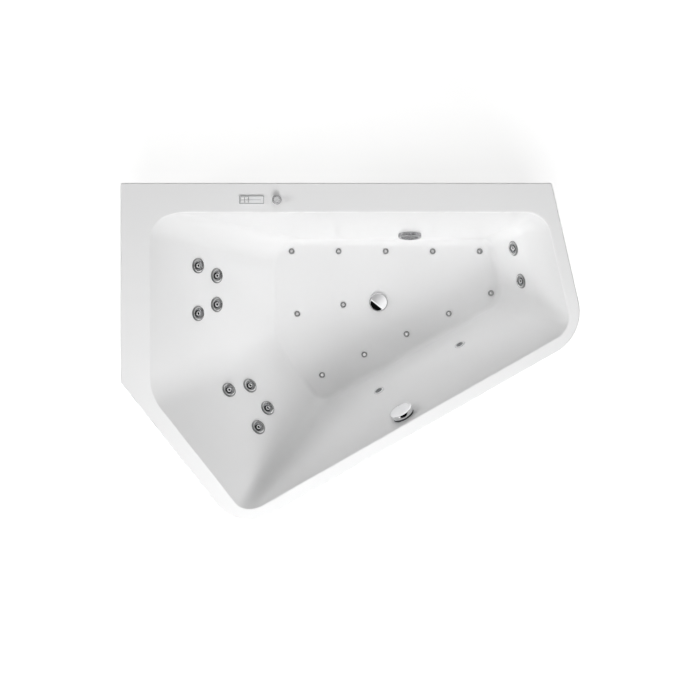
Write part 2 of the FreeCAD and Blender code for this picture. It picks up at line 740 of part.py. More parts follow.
apron_height = rim_under - size("apron_foot")
apron = slab(inset_wire(size("apron_inset"), size("apron_foot")), apron_height)
apron = apron.cut(slab(inset_wire(size("apron_inset") + size("apron_thick"), size("apron_foot")),
                       apron_height))
reach = size("back_edge") + size("front_corner_out")
gap = size("apron_end_gap")
room_sides = [Part.makeBox(2 * reach, gap, rim_top, plan(-reach, gap)),
              Part.makeBox(gap, 2 * reach, rim_top, plan(0, reach))]
made("apron_panel", apron.cut(room_sides))
clip_thick = size("frame_inset") - size("apron_inset") - size("apron_thick")
clips = []
for name in ("right", "front", "shoulder"):
    for share in upright_shares[name]:
        for height in (size("clip_low"), size("clip_high")):
            place = rail_place(name, share, height)
            clip = Part.makeBox(tube, clip_thick, size("clip_height"), vec(-tube / 2, tube / 2, 0))
            clips.append(placed(clip, place))
made("apron_clips", Part.makeCompound(clips))


# Tray that carries the pump and the blower on the rails

tray_low = bar_top
tray = plate(ring, tray_low, size("tray_thick"))
tray = tray.common(Part.makeBox(size("tray_along"), size("tray_end") - size("tray_start"), rim_top,
                                plan(0, size("tray_end"))))
made("machine_tray", tray.cut(uprights))
tray_top = tray_low + size("tray_thick")


# Waste: chrome flange in the floor, its lifting cover, body and trap

keep(turned("drain_flange", [("drain_bore", "drain_flange_thick"),
                             ("drain_flange_radius", "drain_flange_thick"),
                             ("drain_flange_radius", "0"), ("drain_barrel", "0"),
                             ("drain_barrel", "-drain_barrel_length"),
                             ("drain_bore", "-drain_barrel_length")]),
     "drain_flange").Placement = drain_seat
keep(turned("drain_cover", [("0", "cover_height"), ("cover_radius", "cover_height"),
                            ("cover_radius", "drain_flange_thick"),
                            ("cover_radius - cover_wall", "drain_flange_thick"),
                            ("cover_radius - cover_wall", "cover_height - cover_wall"),
                            ("stem_radius", "cover_height - cover_wall"), ("stem_radius", "-stem_length"),
                            ("0", "-stem_length")], {1: "cover_round"}),
     "drain_cover").Placement = drain_seat
drain_seal = turned("drain_seal", [("drain_barrel + fit_gap", "-shell_wall"),
                                   ("waste_flange", "-shell_wall"),
                                   ("waste_flange", "-shell_wall - seal_thick"),
                                   ("drain_barrel + fit_gap", "-shell_wall - seal_thick")])
waste_top = "-shell_wall - seal_thick"
waste_tube = turned("waste_tube", [("drain_barrel + fit_gap", waste_top), ("waste_flange", waste_top),
                                   ("waste_flange", waste_top + " - waste_flange_thick"),
                                   ("waste_radius", waste_top + " - waste_flange_thick"),
                                   ("waste_radius", waste_top + " - waste_length"),
                                   ("drain_barrel + fit_gap", waste_top + " - waste_length")])
bridge = block("waste_bridge", "2 * drain_barrel + 4 * fit_gap", "bridge_width", "bridge_height")
bridge.setExpression("Placement.Base.z", bound("-bridge_depth"))
guide = rod("stem_guide", "stem_radius + run_gap", "bridge_height", "-bridge_depth")
waste_body = joined("Cut", "waste_body", joined("Fuse", "waste_solid", waste_tube, bridge), guide)
waste_body.Placement = drain_seat
keep(waste_body, "waste_body")
trap_top = waste_top + " - waste_length"
trap_cup = turned("trap_cup", [("drain_barrel", trap_top), ("trap_radius", trap_top),
                               ("trap_radius", trap_top + " - trap_length"),
                               ("0", trap_top + " - trap_length"), ("0", trap_top + " - trap_well"),
                               ("drain_barrel", trap_top + " - trap_well")], {2: "foot_edge"})
outlet_turn = FreeCAD.Rotation(up, vec(0, 1, 0))
trap_foot = wall + size("seal_thick") + size("waste_length") + size("trap_length")
outlet_level = size("outlet_rise") - trap_foot
outlet_start = (size("drain_barrel") + size("trap_radius")) / 2
outlet_place = FreeCAD.Placement(vec(0, outlet_start, outlet_level), outlet_turn)
outlet_pipe = Part.makeCylinder(size("outlet_radius"), size("outlet_length") - outlet_start)
outlet_hub = Part.makeCylinder(size("outlet_hub"), size("outlet_hub_reach") - outlet_start)
outlet_bore = Part.makeCylinder(size("outlet_bore"), size("outlet_bore_length"),
                                vec(0, 0,
                                    size("outlet_length") - outlet_start - size("outlet_bore_length")))
outlet = placed(outlet_pipe.fuse(outlet_hub), outlet_place)
trap = trap_cup.Shape.fuse(outlet).cut(placed(outlet_bore, outlet_place))
made("trap", trap.removeSplitter(), drain_seat)


# Overflow: chrome knob on the front wall that lifts the drain cover by a cable

flange_slots = [("overflow_slot_ring - overflow_slot", "-overflow_slot"),
                ("overflow_slot_ring + overflow_slot", "-overflow_slot"),
                ("overflow_slot_ring + overflow_slot", "overflow_slot"),
                ("overflow_slot_ring - overflow_slot", "overflow_slot")]
overflow_flange = turned("overflow_flange", [
    ("hub_radius + run_gap", "overflow_flange_thick"), ("overflow_flange", "overflow_flange_thick"),
    ("overflow_flange", "0"), ("overflow_hole - fit_gap", "0"),
                                             ("overflow_hole - fit_gap", "-overflow_barrel"),
    ("overflow_hole - cover_wall", "-overflow_barrel"), ("overflow_hole - cover_wall", "0"),
                                             ("hub_radius + run_gap", "0")])
add_pocket(overflow_flange, "overflow_slots", flange_slots, "overrun",
           ("round", "overflow_slot_count", ""), True)
keep(overflow_flange, "overflow_flange").Placement = overflow_seat
keep(turned("overflow_knob", [("0", "knob_top"), ("knob_radius", "knob_top"), ("knob_radius", "knob_gap"),
                              ("knob_radius - knob_wall", "knob_gap"),
                              ("knob_radius - knob_wall", "knob_top - knob_wall"),
                              ("hub_radius", "knob_top - knob_wall"), ("hub_radius", "-hub_length"),
                              ("0", "-hub_length")],
            {1: "knob_round", 2: "knob_inner_round"}), "overflow_knob").Placement = overflow_seat
overflow_seal = turned("overflow_seal", [("overflow_hole", "-shell_wall"), ("overflow_body", "-shell_wall"),
                                         ("overflow_body", "-shell_wall - seal_thick"),
                                         ("overflow_hole", "-shell_wall - seal_thick")])
made("waste_seals", Part.makeCompound([placed(drain_seal.Shape, drain_seat),
                                       placed(overflow_seal.Shape, overflow_seat)]))
overflow_body = turned("overflow_body", [
    ("overflow_hole", "-shell_wall - seal_thick"), ("overflow_body", "-shell_wall - seal_thick"),
    ("overflow_body", "-overflow_body_length"), ("0", "-overflow_body_length"),
    ("0", "overflow_body_wall - overflow_body_length"),
                                         ("overflow_hole", "overflow_body_wall - overflow_body_length")])
overflow_body.Placement = overflow_seat
keep(overflow_body, "overflow_body")
doc.recompute()
trap_spot = drain_seat.Base


def behind(place, distance, shift=0):
    return place.multVec(vec(shift, 0, -distance))


def at_height(point, height):
    return vec(point.x, point.y, height)


def nodes_named(*labels):
    return [node for node in nodes if node.Label in labels]


def overflow_run(shift, radius, bend, height):
    top = behind(overflow_seat, size("overflow_body_length") / 2, shift)
    end = at_height(trap_spot + front["way"] * shift, height)
    return outside(laid_pipe([top, at_height(top, height), end], radius, bend),
                   [node.Shape for node in nodes_named("overflow_body", "trap")])


made("overflow_pipe", overflow_run(0, size("overflow_pipe"), size("overflow_bend"),
                                   size("overflow_pipe_height")))
made("lift_cable", overflow_run(size("cable_shift"), size("cable_radius"), size("cable_bend"),
                                size("cable_height")))


# Water jets: chrome ring, body through the wall, nut behind it, and a ball nozzle that swivels

jet_ring = turned("jet_ring", [("jet_body + fit_gap", "0"), ("jet_ring", "0"),
                               ("jet_ring", "jet_ring_height"),
                               ("jet_body + fit_gap", "jet_ring_height")],
                  {2: "jet_ring_round", 3: "jet_lip_round"})
jet_body = turned("jet_body_one", [("0", "-jet_body_length"), ("jet_body", "-jet_body_length"),
                                   ("jet_body", "-jet_recess"),
                                   ("ball_radius + run_gap", "-jet_recess"),
                                   ("ball_radius + run_gap", "-jet_socket_depth"),
                                   ("0", "-jet_socket_depth")])
jet_nut = turned("jet_nut", [("jet_body + fit_gap", "-shell_wall"), ("jet_nut", "-shell_wall"),
                             ("jet_nut", "-shell_wall - jet_nut_height"),
                             ("jet_body + fit_gap", "-shell_wall - jet_nut_height")], {2: "jet_nut_round"})
ball = doc.addObject("Part::Sphere", "nozzle_ball")
ball.setExpression("Radius", bound("ball_radius"))
ball.setExpression("Angle1", bound("-ball_cut_angle"))
ball.setExpression("Angle2", bound("ball_cut_angle"))
ball.setExpression("Placement.Base.z", bound("-ball_depth"))
spout = turned("nozzle_spout", [("0", "-ball_depth"), ("nozzle_radius", "-ball_depth"),
                                ("nozzle_radius", "nozzle_rise"),
                                ("0", "nozzle_rise")], {2: "nozzle_round"})
nozzle_bore = rod("nozzle_bore_cut", "nozzle_bore", "2 * ball_radius + nozzle_rise", "-2 * ball_radius")
nozzle = joined("Cut", "nozzle", joined("Fuse", "nozzle_solid", ball, spout), nozzle_bore)
group("jet_rings", jet_ring, jet_seats)
jet_bodies = group("jet_bodies", jet_body, jet_seats)
nozzle_names = []
for name, rows in jet_groups.items():
    nozzle_names += ["%s_nozzle_%d" % (name, i + 1) for i in range(sum(len(row) for row in rows))]
for label, place in zip(nozzle_names, jet_seats):
    made(label, nozzle.Shape.copy(), place)


# Suction strainer in the back wall

cover_in = "suction_cover - suction_cover_wall"
suction_cover = turned("suction_cover", [
    ("0", "suction_cover_height"), ("suction_cover", "suction_cover_height"), ("suction_cover", "0"),
                                         (cover_in, "0"),
    (cover_in, "suction_cover_height - suction_cover_wall"),
                                         ("0", "suction_cover_height - suction_cover_wall")],
    {1: "suction_cover_round", 4: "suction_cover_round - suction_cover_wall"})
slot_start = "-slot_pitch * (slot_count - 1) / 2"
add_pocket(suction_cover, "suction_slots", [
    (slot_start + " - slot_width / 2", "-slot_length / 2"),
                                            (slot_start + " + slot_width / 2", "-slot_length / 2"),
    (slot_start + " + slot_width / 2", "slot_length / 2"),
                                            (slot_start + " - slot_width / 2", "slot_length / 2")],
    "overrun", ("row", "slot_count", "slot_pitch * (slot_count - 1)"), True)
keep(suction_cover, "suction_cover").Placement = suction_seat
suction_in = "suction_body - suction_body_wall"
suction_body = turned("suction_body", [("0", "-suction_body_length"),
                                       ("suction_body", "-suction_body_length"),
                                       ("suction_body", "0"), (suction_in, "0"),
                                       (suction_in, "suction_body_wall - suction_body_length"),
                                       ("0", "suction_body_wall - suction_body_length")])
suction_body.Placement = suction_seat
keep(suction_body, "suction_body")
suction_nut = turned("suction_nut", [("suction_body + fit_gap", "-shell_wall"),
                                     ("suction_nut", "-shell_wall"),
                                     ("suction_nut", "-shell_wall - suction_nut_height"),
                                     ("suction_body + fit_gap", "-shell_wall - suction_nut_height")],
                     {2: "jet_nut_round"})
made("wall_nuts", Part.makeCompound([placed(jet_nut.Shape, place) for place in jet_seats]
                                    + [placed(suction_nut.Shape, suction_seat)]))


# Water pipework

def row_end(rows, index, end, distance, reach):
    # a point on a pipe row behind the wall, a reach beyond the first (-1) or the last (+1) jet
    return behind(rows[index][0 if end < 0 else 1], distance, end * reach)


def link_middle(first, last):
    away = (wall_normal(sides["left"]) + wall_normal(sides["shoulder"])).normalize()
    return (first + last) / 2 - away * size("link_clear")


def jet_runs(feed, distance, radius, bend):
    # along the left row, round the corner to the shoulder row, then a loop down to each lower row
    reach, tee = size("row_reach"), size("jet_body") + radius + size("tee_gap")
    lower = tee + size("jets_outer_half") - size("jets_inner_half")
    left_end = row_end(left_jets, 0, -1, distance, reach)
    shoulder_end = row_end(shoulder_jets, 0, 1, distance, reach)
    shoulder_far = row_end(shoulder_jets, 0, -1, distance, tee)
    main = feed + [left_end, link_middle(left_end, shoulder_end), shoulder_end, shoulder_far]
    left_loop = [row_end(left_jets, 0, -1, distance, tee), row_end(left_jets, 1, -1, distance, lower),
                 row_end(left_jets, 1, 1, distance, 0)]
    shoulder_loop = [shoulder_far, row_end(shoulder_jets, 1, -1, distance, lower),
                     row_end(shoulder_jets, 1, 1, distance, 0)]
    return [laid_pipe(points, radius, bend) for points in (main, left_loop, shoulder_loop)]


def foot_run(feed, out, distance, radius, bend):
    first, last = row_end(foot_jets, 0, -1, distance, 0), row_end(foot_jets, 0, 1, distance, 0)
    way = (last - first).normalize()
    turn = first + way * ((plan(0, out).y - first.y) / way.y)
    return laid_pipe(feed + [at_height(turn, feed[-1].z), turn, last], radius, bend)


water = size("water_back")
row_line = row_end(left_jets, 0, 1, water, 0)
suction_line = behind(suction_seat, size("suction_back"))
pump_axis = vec(row_line.x - size("discharge_side"), plan(0, size("pump_inlet_out")).y, suction_line.z)
pump_place = FreeCAD.Placement(pump_axis, FreeCAD.Rotation(vec(1, 0, 0), up, vec(0, -1, 0), "ZXY"))
discharge_top = pump_place.multVec(vec(size("discharge_side"), size("discharge_height"),
                                       size("pump_stub_length") + size("volute_length") / 2))
feed_turn = at_height(discharge_top, row_line.z)
foot_feed = at_height(discharge_top, size("foot_feed_height"))
foot_line = vec(foot_feed.x, plan(0, size("foot_feed_out")).y, foot_feed.z)
water_runs = jet_runs([discharge_top, feed_turn], water, size("water_pipe"), size("water_bend"))
water_runs.append(foot_run([foot_feed, foot_line], size("foot_feed_out"), water, size("water_pipe"),
                           size("water_bend")))
made("water_pipes", parted(branched(water_runs), jet_bodies.Shape.Solids))
corner = vec(pump_axis.x, suction_line.y, suction_line.z)
suction_run = laid_pipe([suction_line, corner, pump_axis], size("suction_pipe"), size("suction_bend"))
made("suction_pipe", outside(suction_run, [suction_body.Shape]))

air = size("jet_air_back")
air_row = row_end(left_jets, 0, 1, air, 0)
valve_end = air_knob_seat.Base - up * size("air_valve_length")
air_top = at_height(valve_end, size("foot_air_height"))
air_corner = vec(air_row.x, valve_end.y, air_top.z)
air_runs = jet_runs([valve_end, air_top, air_corner, at_height(air_corner, air_row.z)], air,
                    size("jet_air_pipe"), size("air_bend"))
air_runs.append(foot_run([air_top], size("panel_out"), air, size("jet_air_pipe"), size("air_bend")))
made("air_pipes", parted(branched(air_runs), jet_bodies.Shape.Solids))


# Air jets in the floor and the line that feeds them

block_top = "air_line_height + air_block - floor_height"
block_low = "air_line_height - air_block - floor_height"
air_cap = turned("air_jet_cap", [("0", "air_cap_height"), ("air_groove_in", "air_cap_height"),
                                 ("air_groove_in", "air_cap_height - air_groove"),
                                 ("air_groove_out", "air_cap_height - air_groove"),
                                 ("air_groove_out", "air_cap_height"),
                                 ("air_cap", "air_cap_height"), ("air_cap", "0"), ("air_stem", "0"),
                                 ("air_stem", "-air_stem_length"), ("0", "-air_stem_length")],
                 {5: "air_cap_round"})
air_body = turned("air_jet_body", [("air_stem + fit_gap", "0"), ("air_barrel", "0"),
                                   ("air_barrel", "-shell_wall"),
                                   ("air_nut", "-shell_wall"), ("air_nut", "-shell_wall - air_nut_height"),
                                   ("air_barrel", "-shell_wall - air_nut_height"),
                                   ("air_barrel", block_top),
                                   ("air_block", block_top), ("air_block", block_low), ("0", block_low),
                                   ("0", block_top), ("air_stem + fit_gap", block_top)])
group("air_jet_caps", air_cap, air_seats)
air_bodies = group("air_jet_bodies", air_body, air_seats)


def header_crossing(first, last):
    share = (size("air_header_along") - first[0]) / (last[0] - first[0])
    return first[1] + (last[1] - first[1]) * share


def line_point(along, out):
    return plan(along, out, size("air_line_height"))


header = size("air_header_along")
header_end = line_point(header, header_crossing(front_row_start, front_row_end))
air_runs = [laid_pipe([line_point(header, size("back_row_out")), header_end], size("air_line"), 0)]
row_ends = ((back_row_start, back_row_end), (middle_start, middle_end), (front_row_start, front_row_end))
for first, last in row_ends:
    start = line_point(header, header_crossing(first, last))
    air_runs.append(laid_pipe([start, line_point(*last)], size("air_line"), 0))
outlet_height = tray_top + size("blower_outlet_height")
blower_mouth = plan(size("blower_along") + size("blower_outlet_reach"), size("blower_out"), outlet_height)
riser = plan(size("riser_along"), size("blower_out"), outlet_height)
air_runs.append(laid_pipe([blower_mouth, riser, at_height(riser, size("air_line_height")),
                           line_point(header, size("blower_out"))], size("air_line"), size("riser_bend")))
made("air_lines", parted(branched(air_runs), air_bodies.Shape.Solids))


# Blower

blower_seat = FreeCAD.Placement(plan(size("blower_along"), size("blower_out"), tray_top),
                                FreeCAD.Rotation())
drum_top = "blower_foot_height + blower_height"
drum = turned("blower_drum", [("0", "0"), ("blower_foot", "0"), ("blower_foot", "blower_foot_height"),
                              ("blower_radius", "blower_foot_height"), ("blower_radius", drum_top),
                              ("blower_cap", drum_top),
                              ("blower_cap", drum_top + " + blower_cap_height"),
                              ("0", drum_top + " + blower_cap_height")],
              {4: "blower_round", 6: "blower_cap_round"})
spigot = rod("blower_spigot", "blower_outlet", "blower_outlet_reach")
spigot.Placement = FreeCAD.Placement(vec(0, 0, size("blower_outlet_height")),
                                     FreeCAD.Rotation(up, vec(1, 0, 0)))
spigot.setExpression("Placement.Base.z", bound("blower_outlet_height"))
blower = joined("Fuse", "blower_housing", drum, spigot)
blower.Placement = blower_seat
keep(blower, "blower_housing")


# Pump: volute, finned motor, one rotor through both, fan cover, base and terminal box

motor_low = "pump_stub_length + volute_length"
motor_end = motor_low + " + motor_length"
fin_tip = "motor_radius + fin_height"
chamber_low = "pump_stub_length + volute_wall"
chamber_length = "volute_length - 2 * volute_wall"
volute_cup = turned("volute_cup", [("inlet_bore", "0"), ("pump_stub", "0"),
                                   ("pump_stub", "pump_stub_length"),
                                   ("volute_radius", "pump_stub_length"), ("volute_radius", motor_low),
                                   ("shaft_radius + run_gap", motor_low),
                                   ("shaft_radius + run_gap", chamber_low),
                                   ("inlet_bore", chamber_low)], {3: "volute_round", 4: "volute_round"})
discharge = rod("volute_discharge", "discharge_radius", "discharge_height")
discharge.Placement = FreeCAD.Placement(vec(size("discharge_side"), 0,
                                            size("pump_stub_length") + size("volute_length") / 2),
                                        FreeCAD.Rotation(up, vec(0, 1, 0)))
discharge.setExpression("Placement.Base.x", bound("discharge_side"))
discharge.setExpression("Placement.Base.z", bound("pump_stub_length + volute_length / 2"))
chamber = rod("volute_chamber", "volute_radius - volute_wall", chamber_length, chamber_low)
volute = joined("Cut", "pump_volute", joined("Fuse", "volute_solid", volute_cup, discharge), chamber)
volute.Placement = pump_place
keep(volute, "pump_volute")


def spoke(inner, outer, thick):
    return [(inner, "-%s / 2" % thick), (outer, "-%s / 2" % thick), (outer, "%s / 2" % thick),
            (inner, "%s / 2" % thick)]


motor = turned("pump_motor", [("shaft_radius + run_gap", motor_low), (fin_tip, motor_low),
                              (fin_tip, motor_low + " + motor_flange"),
                              ("motor_radius", motor_low + " + motor_flange"),
                              ("motor_radius", motor_end + " - motor_flange"),
                              (fin_tip, motor_end + " - motor_flange"), (fin_tip, motor_end),
                              ("shaft_radius + run_gap", motor_end)])
add_pad(motor, "motor_fin", spoke("motor_radius - fin_thick", fin_tip + " - fit_gap", "fin_thick"),
        "motor_length - 2 * motor_flange",
        ("round", "fin_count", ""), motor_low + " + motor_flange")
motor.Placement = pump_place
keep(motor, "pump_motor")

wheel_high = "pump_stub_length + volute_length - volute_wall - chamber_gap"
wheel_low = wheel_high + " - impeller_thick"
hub = "2 * shaft_radius"
wheel = "volute_radius - volute_wall - chamber_gap"
fan_low = motor_end + " + fan_gap"
fan_high = fan_low + " + fan_thick"
fan = "motor_radius - fan_cover_wall"
rotor = turned("pump_rotor", [("0", wheel_low + " - vane_height"), (hub, wheel_low + " - vane_height"),
                              (hub, wheel_low),
                              (wheel, wheel_low), (wheel, wheel_high), ("shaft_radius", wheel_high),
                              ("shaft_radius", fan_low),
                              (fan, fan_low), (fan, fan_high), ("0", fan_high)])
add_pad(rotor, "rotor_vane", spoke(hub + " - vane_thick", wheel, "vane_thick"), "vane_height",
        ("round", "vane_count", ""),
        wheel_low + " - vane_height")
add_pad(rotor, "fan_blade", spoke(hub, fan, "fan_thick"), "fan_blade_height", ("round", "blade_count", ""),
        fan_high)
rotor.Placement = pump_place
keep(rotor, "pump_rotor")

cover_end = motor_end + " + fan_cover_length"
cover_bore = fin_tip + " - fan_cover_wall"
fan_cover = turned("fan_cover", [(fin_tip, motor_end), (fin_tip, cover_end), ("0", cover_end),
                                 ("0", cover_end + " - fan_cover_wall"),
                                 (cover_bore, cover_end + " - fan_cover_wall"), (cover_bore, motor_end)],
                   {1: "fan_cover_round", 4: "fan_cover_round - fan_cover_wall"})
add_pocket(fan_cover, "fan_slot", spoke("fan_slot_ring", "fan_slot_ring + fan_slot_length",
                                        "fan_slot_width"),
           cover_end + " + overrun", ("round", "fan_slot_count", ""), True)
fan_cover.Placement = pump_place
keep(fan_cover, "fan_cover")

motor_start = size("pump_stub_length") + size("volute_length")
envelope = Part.makeCylinder(size("motor_radius") + size("fin_height"), size("motor_length"),
                             vec(0, 0, motor_start))
foot_drop = tray_top - pump_axis.z
base_start = motor_start + (size("motor_length") - size("base_length")) / 2


def base_block(start, length, height):
    return Part.makeBox(size("base_width"), height, length, vec(-size("base_width") / 2, foot_drop, start))


saddle = size("saddle_thick")
base = base_block(base_start, size("base_length"), size("base_plate"))
base = base.fuse([base_block(base_start, saddle, -foot_drop),
                  base_block(base_start + size("base_length") - saddle, saddle, -foot_drop)])
made("pump_base", base.cut(envelope).removeSplitter(), pump_place)
terminal = Part.makeBox(size("terminal_width"), size("terminal_height"), size("terminal_length"),
                        vec(-size("terminal_width") / 2, 0, base_start))
terminal = terminal.makeFillet(size("terminal_round"),
                               [edge for edge in terminal.Edges if edge.BoundBox.YMin > 0])
made("terminal_box", terminal.cut(envelope), pump_place)


# Lamps in the front wall

lamp_housing = turned("lamp_housing", [
    ("0", "-lamp_length"), ("lamp_barrel", "-lamp_length"), ("lamp_barrel", "0"), ("lamp_flange", "0"),
    ("lamp_flange", "lamp_flange_thick"), ("lens_radius", "lamp_flange_thick"),
                                       ("lens_radius", "-lens_seat"), ("0", "-lens_seat")],
    {4: "lamp_flange_round"})
lamp_lens = turned("lamp_lens", [("0", "-lens_seat"), ("lens_radius - fit_gap", "-lens_seat"),
                                 ("lens_radius - fit_gap", "lens_rise"), ("0", "lens_rise")],
                   {2: "lens_round"})
group("lamp_housings", lamp_housing, lamp_seats)
group("lamp_lenses", lamp_lens, lamp_seats)


# Control panel let into the back rim, with four keys and a window

def panel_place(along, out, height):
    return FreeCAD.Placement(panel_seat.Base + vec(along, -out, height), FreeCAD.Rotation())


plate_solid = block("panel_plate", "panel_length", "panel_width", "panel_height")
doc.recompute()
plate_round = rounded_edges("panel_plate_round", plate_solid, "panel_round", upright_edge)
tub = block("panel_tub", "panel_tub_length", "panel_tub_width", "panel_tub_depth")
tub.setExpression("Placement.Base.z", bound("-panel_tub_depth"))
bezel = joined("Fuse", "panel_solid", plate_round, tub).Shape
play = 2 * size("fit_gap")
key_floor = size("panel_height") - size("key_depth") - size("key_travel")
key_spots = [(-size("key_shift") + size("key_pitch_along") * (i - 0.5), size("key_pitch_out") * (j - 0.5))
             for j in range(2) for i in range(2)]
wells = [centred_box(size("key_length") + play, size("key_width") + play, size("overrun"),
                     FreeCAD.Placement(vec(along, -out, key_floor), FreeCAD.Rotation())) for along,
         out in key_spots]
wells.append(centred_box(size("window_length") + play, size("window_width") + play, size("overrun"),
                         FreeCAD.Placement(vec(size("window_shift"), 0,
                                               size("panel_height") - size("window_depth")),
                                           FreeCAD.Rotation())))
made("panel_bezel", bezel.cut(wells), panel_seat)
key_solid = block("key_block", "key_length", "key_width", "key_depth + key_rise")
doc.recompute()
key_round = rounded_edges("panel_key", key_solid, "key_round",
                          lambda edge: edge.BoundBox.ZMin > size("key_depth"))
for number, (along, out) in enumerate(key_spots, start=1):
    made("panel_key_%d" % number, placed(key_round.Shape, FreeCAD.Placement()),
         panel_place(along, out, size("panel_height") - size("key_depth")))
window = block("window_block", "window_length", "window_width", "window_depth")
doc.recompute()
window_place = panel_place(size("window_shift"), 0, size("panel_height") - size("window_depth"))
made("panel_window", placed(window.Shape, window_place))


# Air regulator on the rim

keep(turned("air_base", [("air_shaft + run_gap", "0"), ("air_base", "0"), ("air_base", "air_base_height"),
                         ("air_shaft + run_gap", "air_base_height")], {2: "air_base_round"}),
     "air_base").Placement = air_knob_seat
air_knob = turned("air_knob", [("0", "air_base_height + air_knob_height"),
                               ("air_knob", "air_base_height + air_knob_height"),
                               ("air_knob", "air_base_height + fit_gap"),
                               ("air_shaft", "air_base_height + fit_gap"),
                               ("air_shaft", "-air_shaft_length"), ("0", "-air_shaft_length")],
                  {1: "air_knob_round"})
add_pocket(air_knob, "air_flute", spoke("air_knob - flute_radius / 2", "air_knob + flute_radius",
                                        "flute_radius"),
           "air_base_height + air_knob_height + overrun", ("round", "flute_count", ""), True)
keep(air_knob, "air_knob").Placement = air_knob_seat
keep(turned("air_valve", [("air_shaft + run_gap", "0"), ("air_valve", "0"),
                          ("air_valve", "-air_valve_length"),
                          ("0", "-air_valve_length"), ("0", "-air_shaft_length - overrun"),
                          ("air_shaft + run_gap", "-air_shaft_length - overrun")]),
     "air_valve").Placement = air_knob_seat


# Control box on the middle back upright, with its mains gland

box_back = size("frame_inset") + tube
box_seat = FreeCAD.Placement(plan(sides["back"]["length"] * upright_shares["back"][1], box_back,
                                  size("box_foot")),
                             FreeCAD.Rotation())
case = block("control_case", "box_length", "box_depth", "box_height")
doc.recompute()
case_round = rounded_edges("control_case_round", case, "terminal_round", upright_edge)
box_place = FreeCAD.Placement(box_seat.Base - vec(0, size("box_depth") / 2, 0), FreeCAD.Rotation())
gland = turned("mains_gland", [("gland_bore", "0"), ("gland_radius", "0"), ("gland_radius", "gland_length"),
                               ("gland_bore", "gland_length")], {2: "air_base_round"})
gland_place = FreeCAD.Placement(vec(size("box_length") / 2, 0, size("box_height") / 2),
                                FreeCAD.Rotation(up, vec(1, 0, 0)))
made("control_box", case_round.Shape.fuse(placed(gland.Shape, gland_place)).removeSplitter(), box_place)


# Check and write every sub-part

doc.recompute()
for item in doc.Objects:
    if "Invalid" in item.State or "Error" in item.State:
        raise RuntimeError("not computed: " + item.Label)
os.makedirs("parts", exist_ok=True)
for node in nodes:
    if node.Shape.isNull() or not node.Shape.isValid() or not node.Shape.Solids:
        raise RuntimeError("bad shape: " + node.Label)
    node.Shape.exportStep("parts/%s.step" % node.Label)
print("sub-parts written:", len(nodes))
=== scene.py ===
import json
import math
import bmesh
import bpy
import numpy as np
from mathutils import Matrix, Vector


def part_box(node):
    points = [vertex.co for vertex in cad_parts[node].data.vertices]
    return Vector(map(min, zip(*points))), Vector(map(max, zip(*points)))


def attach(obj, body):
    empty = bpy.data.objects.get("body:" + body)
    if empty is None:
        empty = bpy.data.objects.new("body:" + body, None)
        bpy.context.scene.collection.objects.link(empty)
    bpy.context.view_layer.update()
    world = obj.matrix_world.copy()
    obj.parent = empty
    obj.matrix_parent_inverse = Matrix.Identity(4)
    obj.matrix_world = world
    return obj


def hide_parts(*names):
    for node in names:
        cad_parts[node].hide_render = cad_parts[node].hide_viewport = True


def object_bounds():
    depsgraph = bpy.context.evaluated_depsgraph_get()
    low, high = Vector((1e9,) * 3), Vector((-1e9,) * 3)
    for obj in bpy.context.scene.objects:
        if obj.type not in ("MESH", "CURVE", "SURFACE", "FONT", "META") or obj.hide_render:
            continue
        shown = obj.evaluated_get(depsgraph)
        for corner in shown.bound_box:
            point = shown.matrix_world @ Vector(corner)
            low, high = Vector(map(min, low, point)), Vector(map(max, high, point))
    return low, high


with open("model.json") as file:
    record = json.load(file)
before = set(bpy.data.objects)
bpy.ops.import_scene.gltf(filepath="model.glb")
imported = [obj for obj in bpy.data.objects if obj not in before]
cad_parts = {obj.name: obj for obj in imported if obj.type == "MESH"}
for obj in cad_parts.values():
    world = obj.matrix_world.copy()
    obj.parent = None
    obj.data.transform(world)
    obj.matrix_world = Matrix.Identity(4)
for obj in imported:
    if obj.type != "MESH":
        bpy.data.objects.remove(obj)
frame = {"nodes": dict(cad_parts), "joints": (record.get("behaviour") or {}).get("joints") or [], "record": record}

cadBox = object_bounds()
nodes = frame["nodes"]
joints = {joint["name"]: joint for joint in frame["joints"]}
print("frame loaded:", len(nodes), "nodes")

# Shader wiring: sockets that can be added, subtracted and multiplied


class Wire:
    def __init__(self, board, socket):
        self.board = board
        self.socket = socket

    def maths(self, operation, *parts):
        return self.board.node("Math", {"operation": operation}, parts)

    def __add__(self, other):
        return self.maths("ADD", self, other)

    def __sub__(self, other):
        return self.maths("SUBTRACT", self, other)

    def __rsub__(self, other):
        return self.maths("SUBTRACT", other, self)

    def __mul__(self, other):
        return self.maths("MULTIPLY", self, other)

    __radd__ = __add__
    __rmul__ = __mul__

    def ramp(self, low, high, start=0.0, end=1.0):  # a soft step from start at low to end at high
        ends = {"Value": self, "From Min": low, "From Max": high, "To Min": start, "To Max": end}
        return self.board.node("MapRange", {"interpolation_type": "SMOOTHSTEP"}, ends)


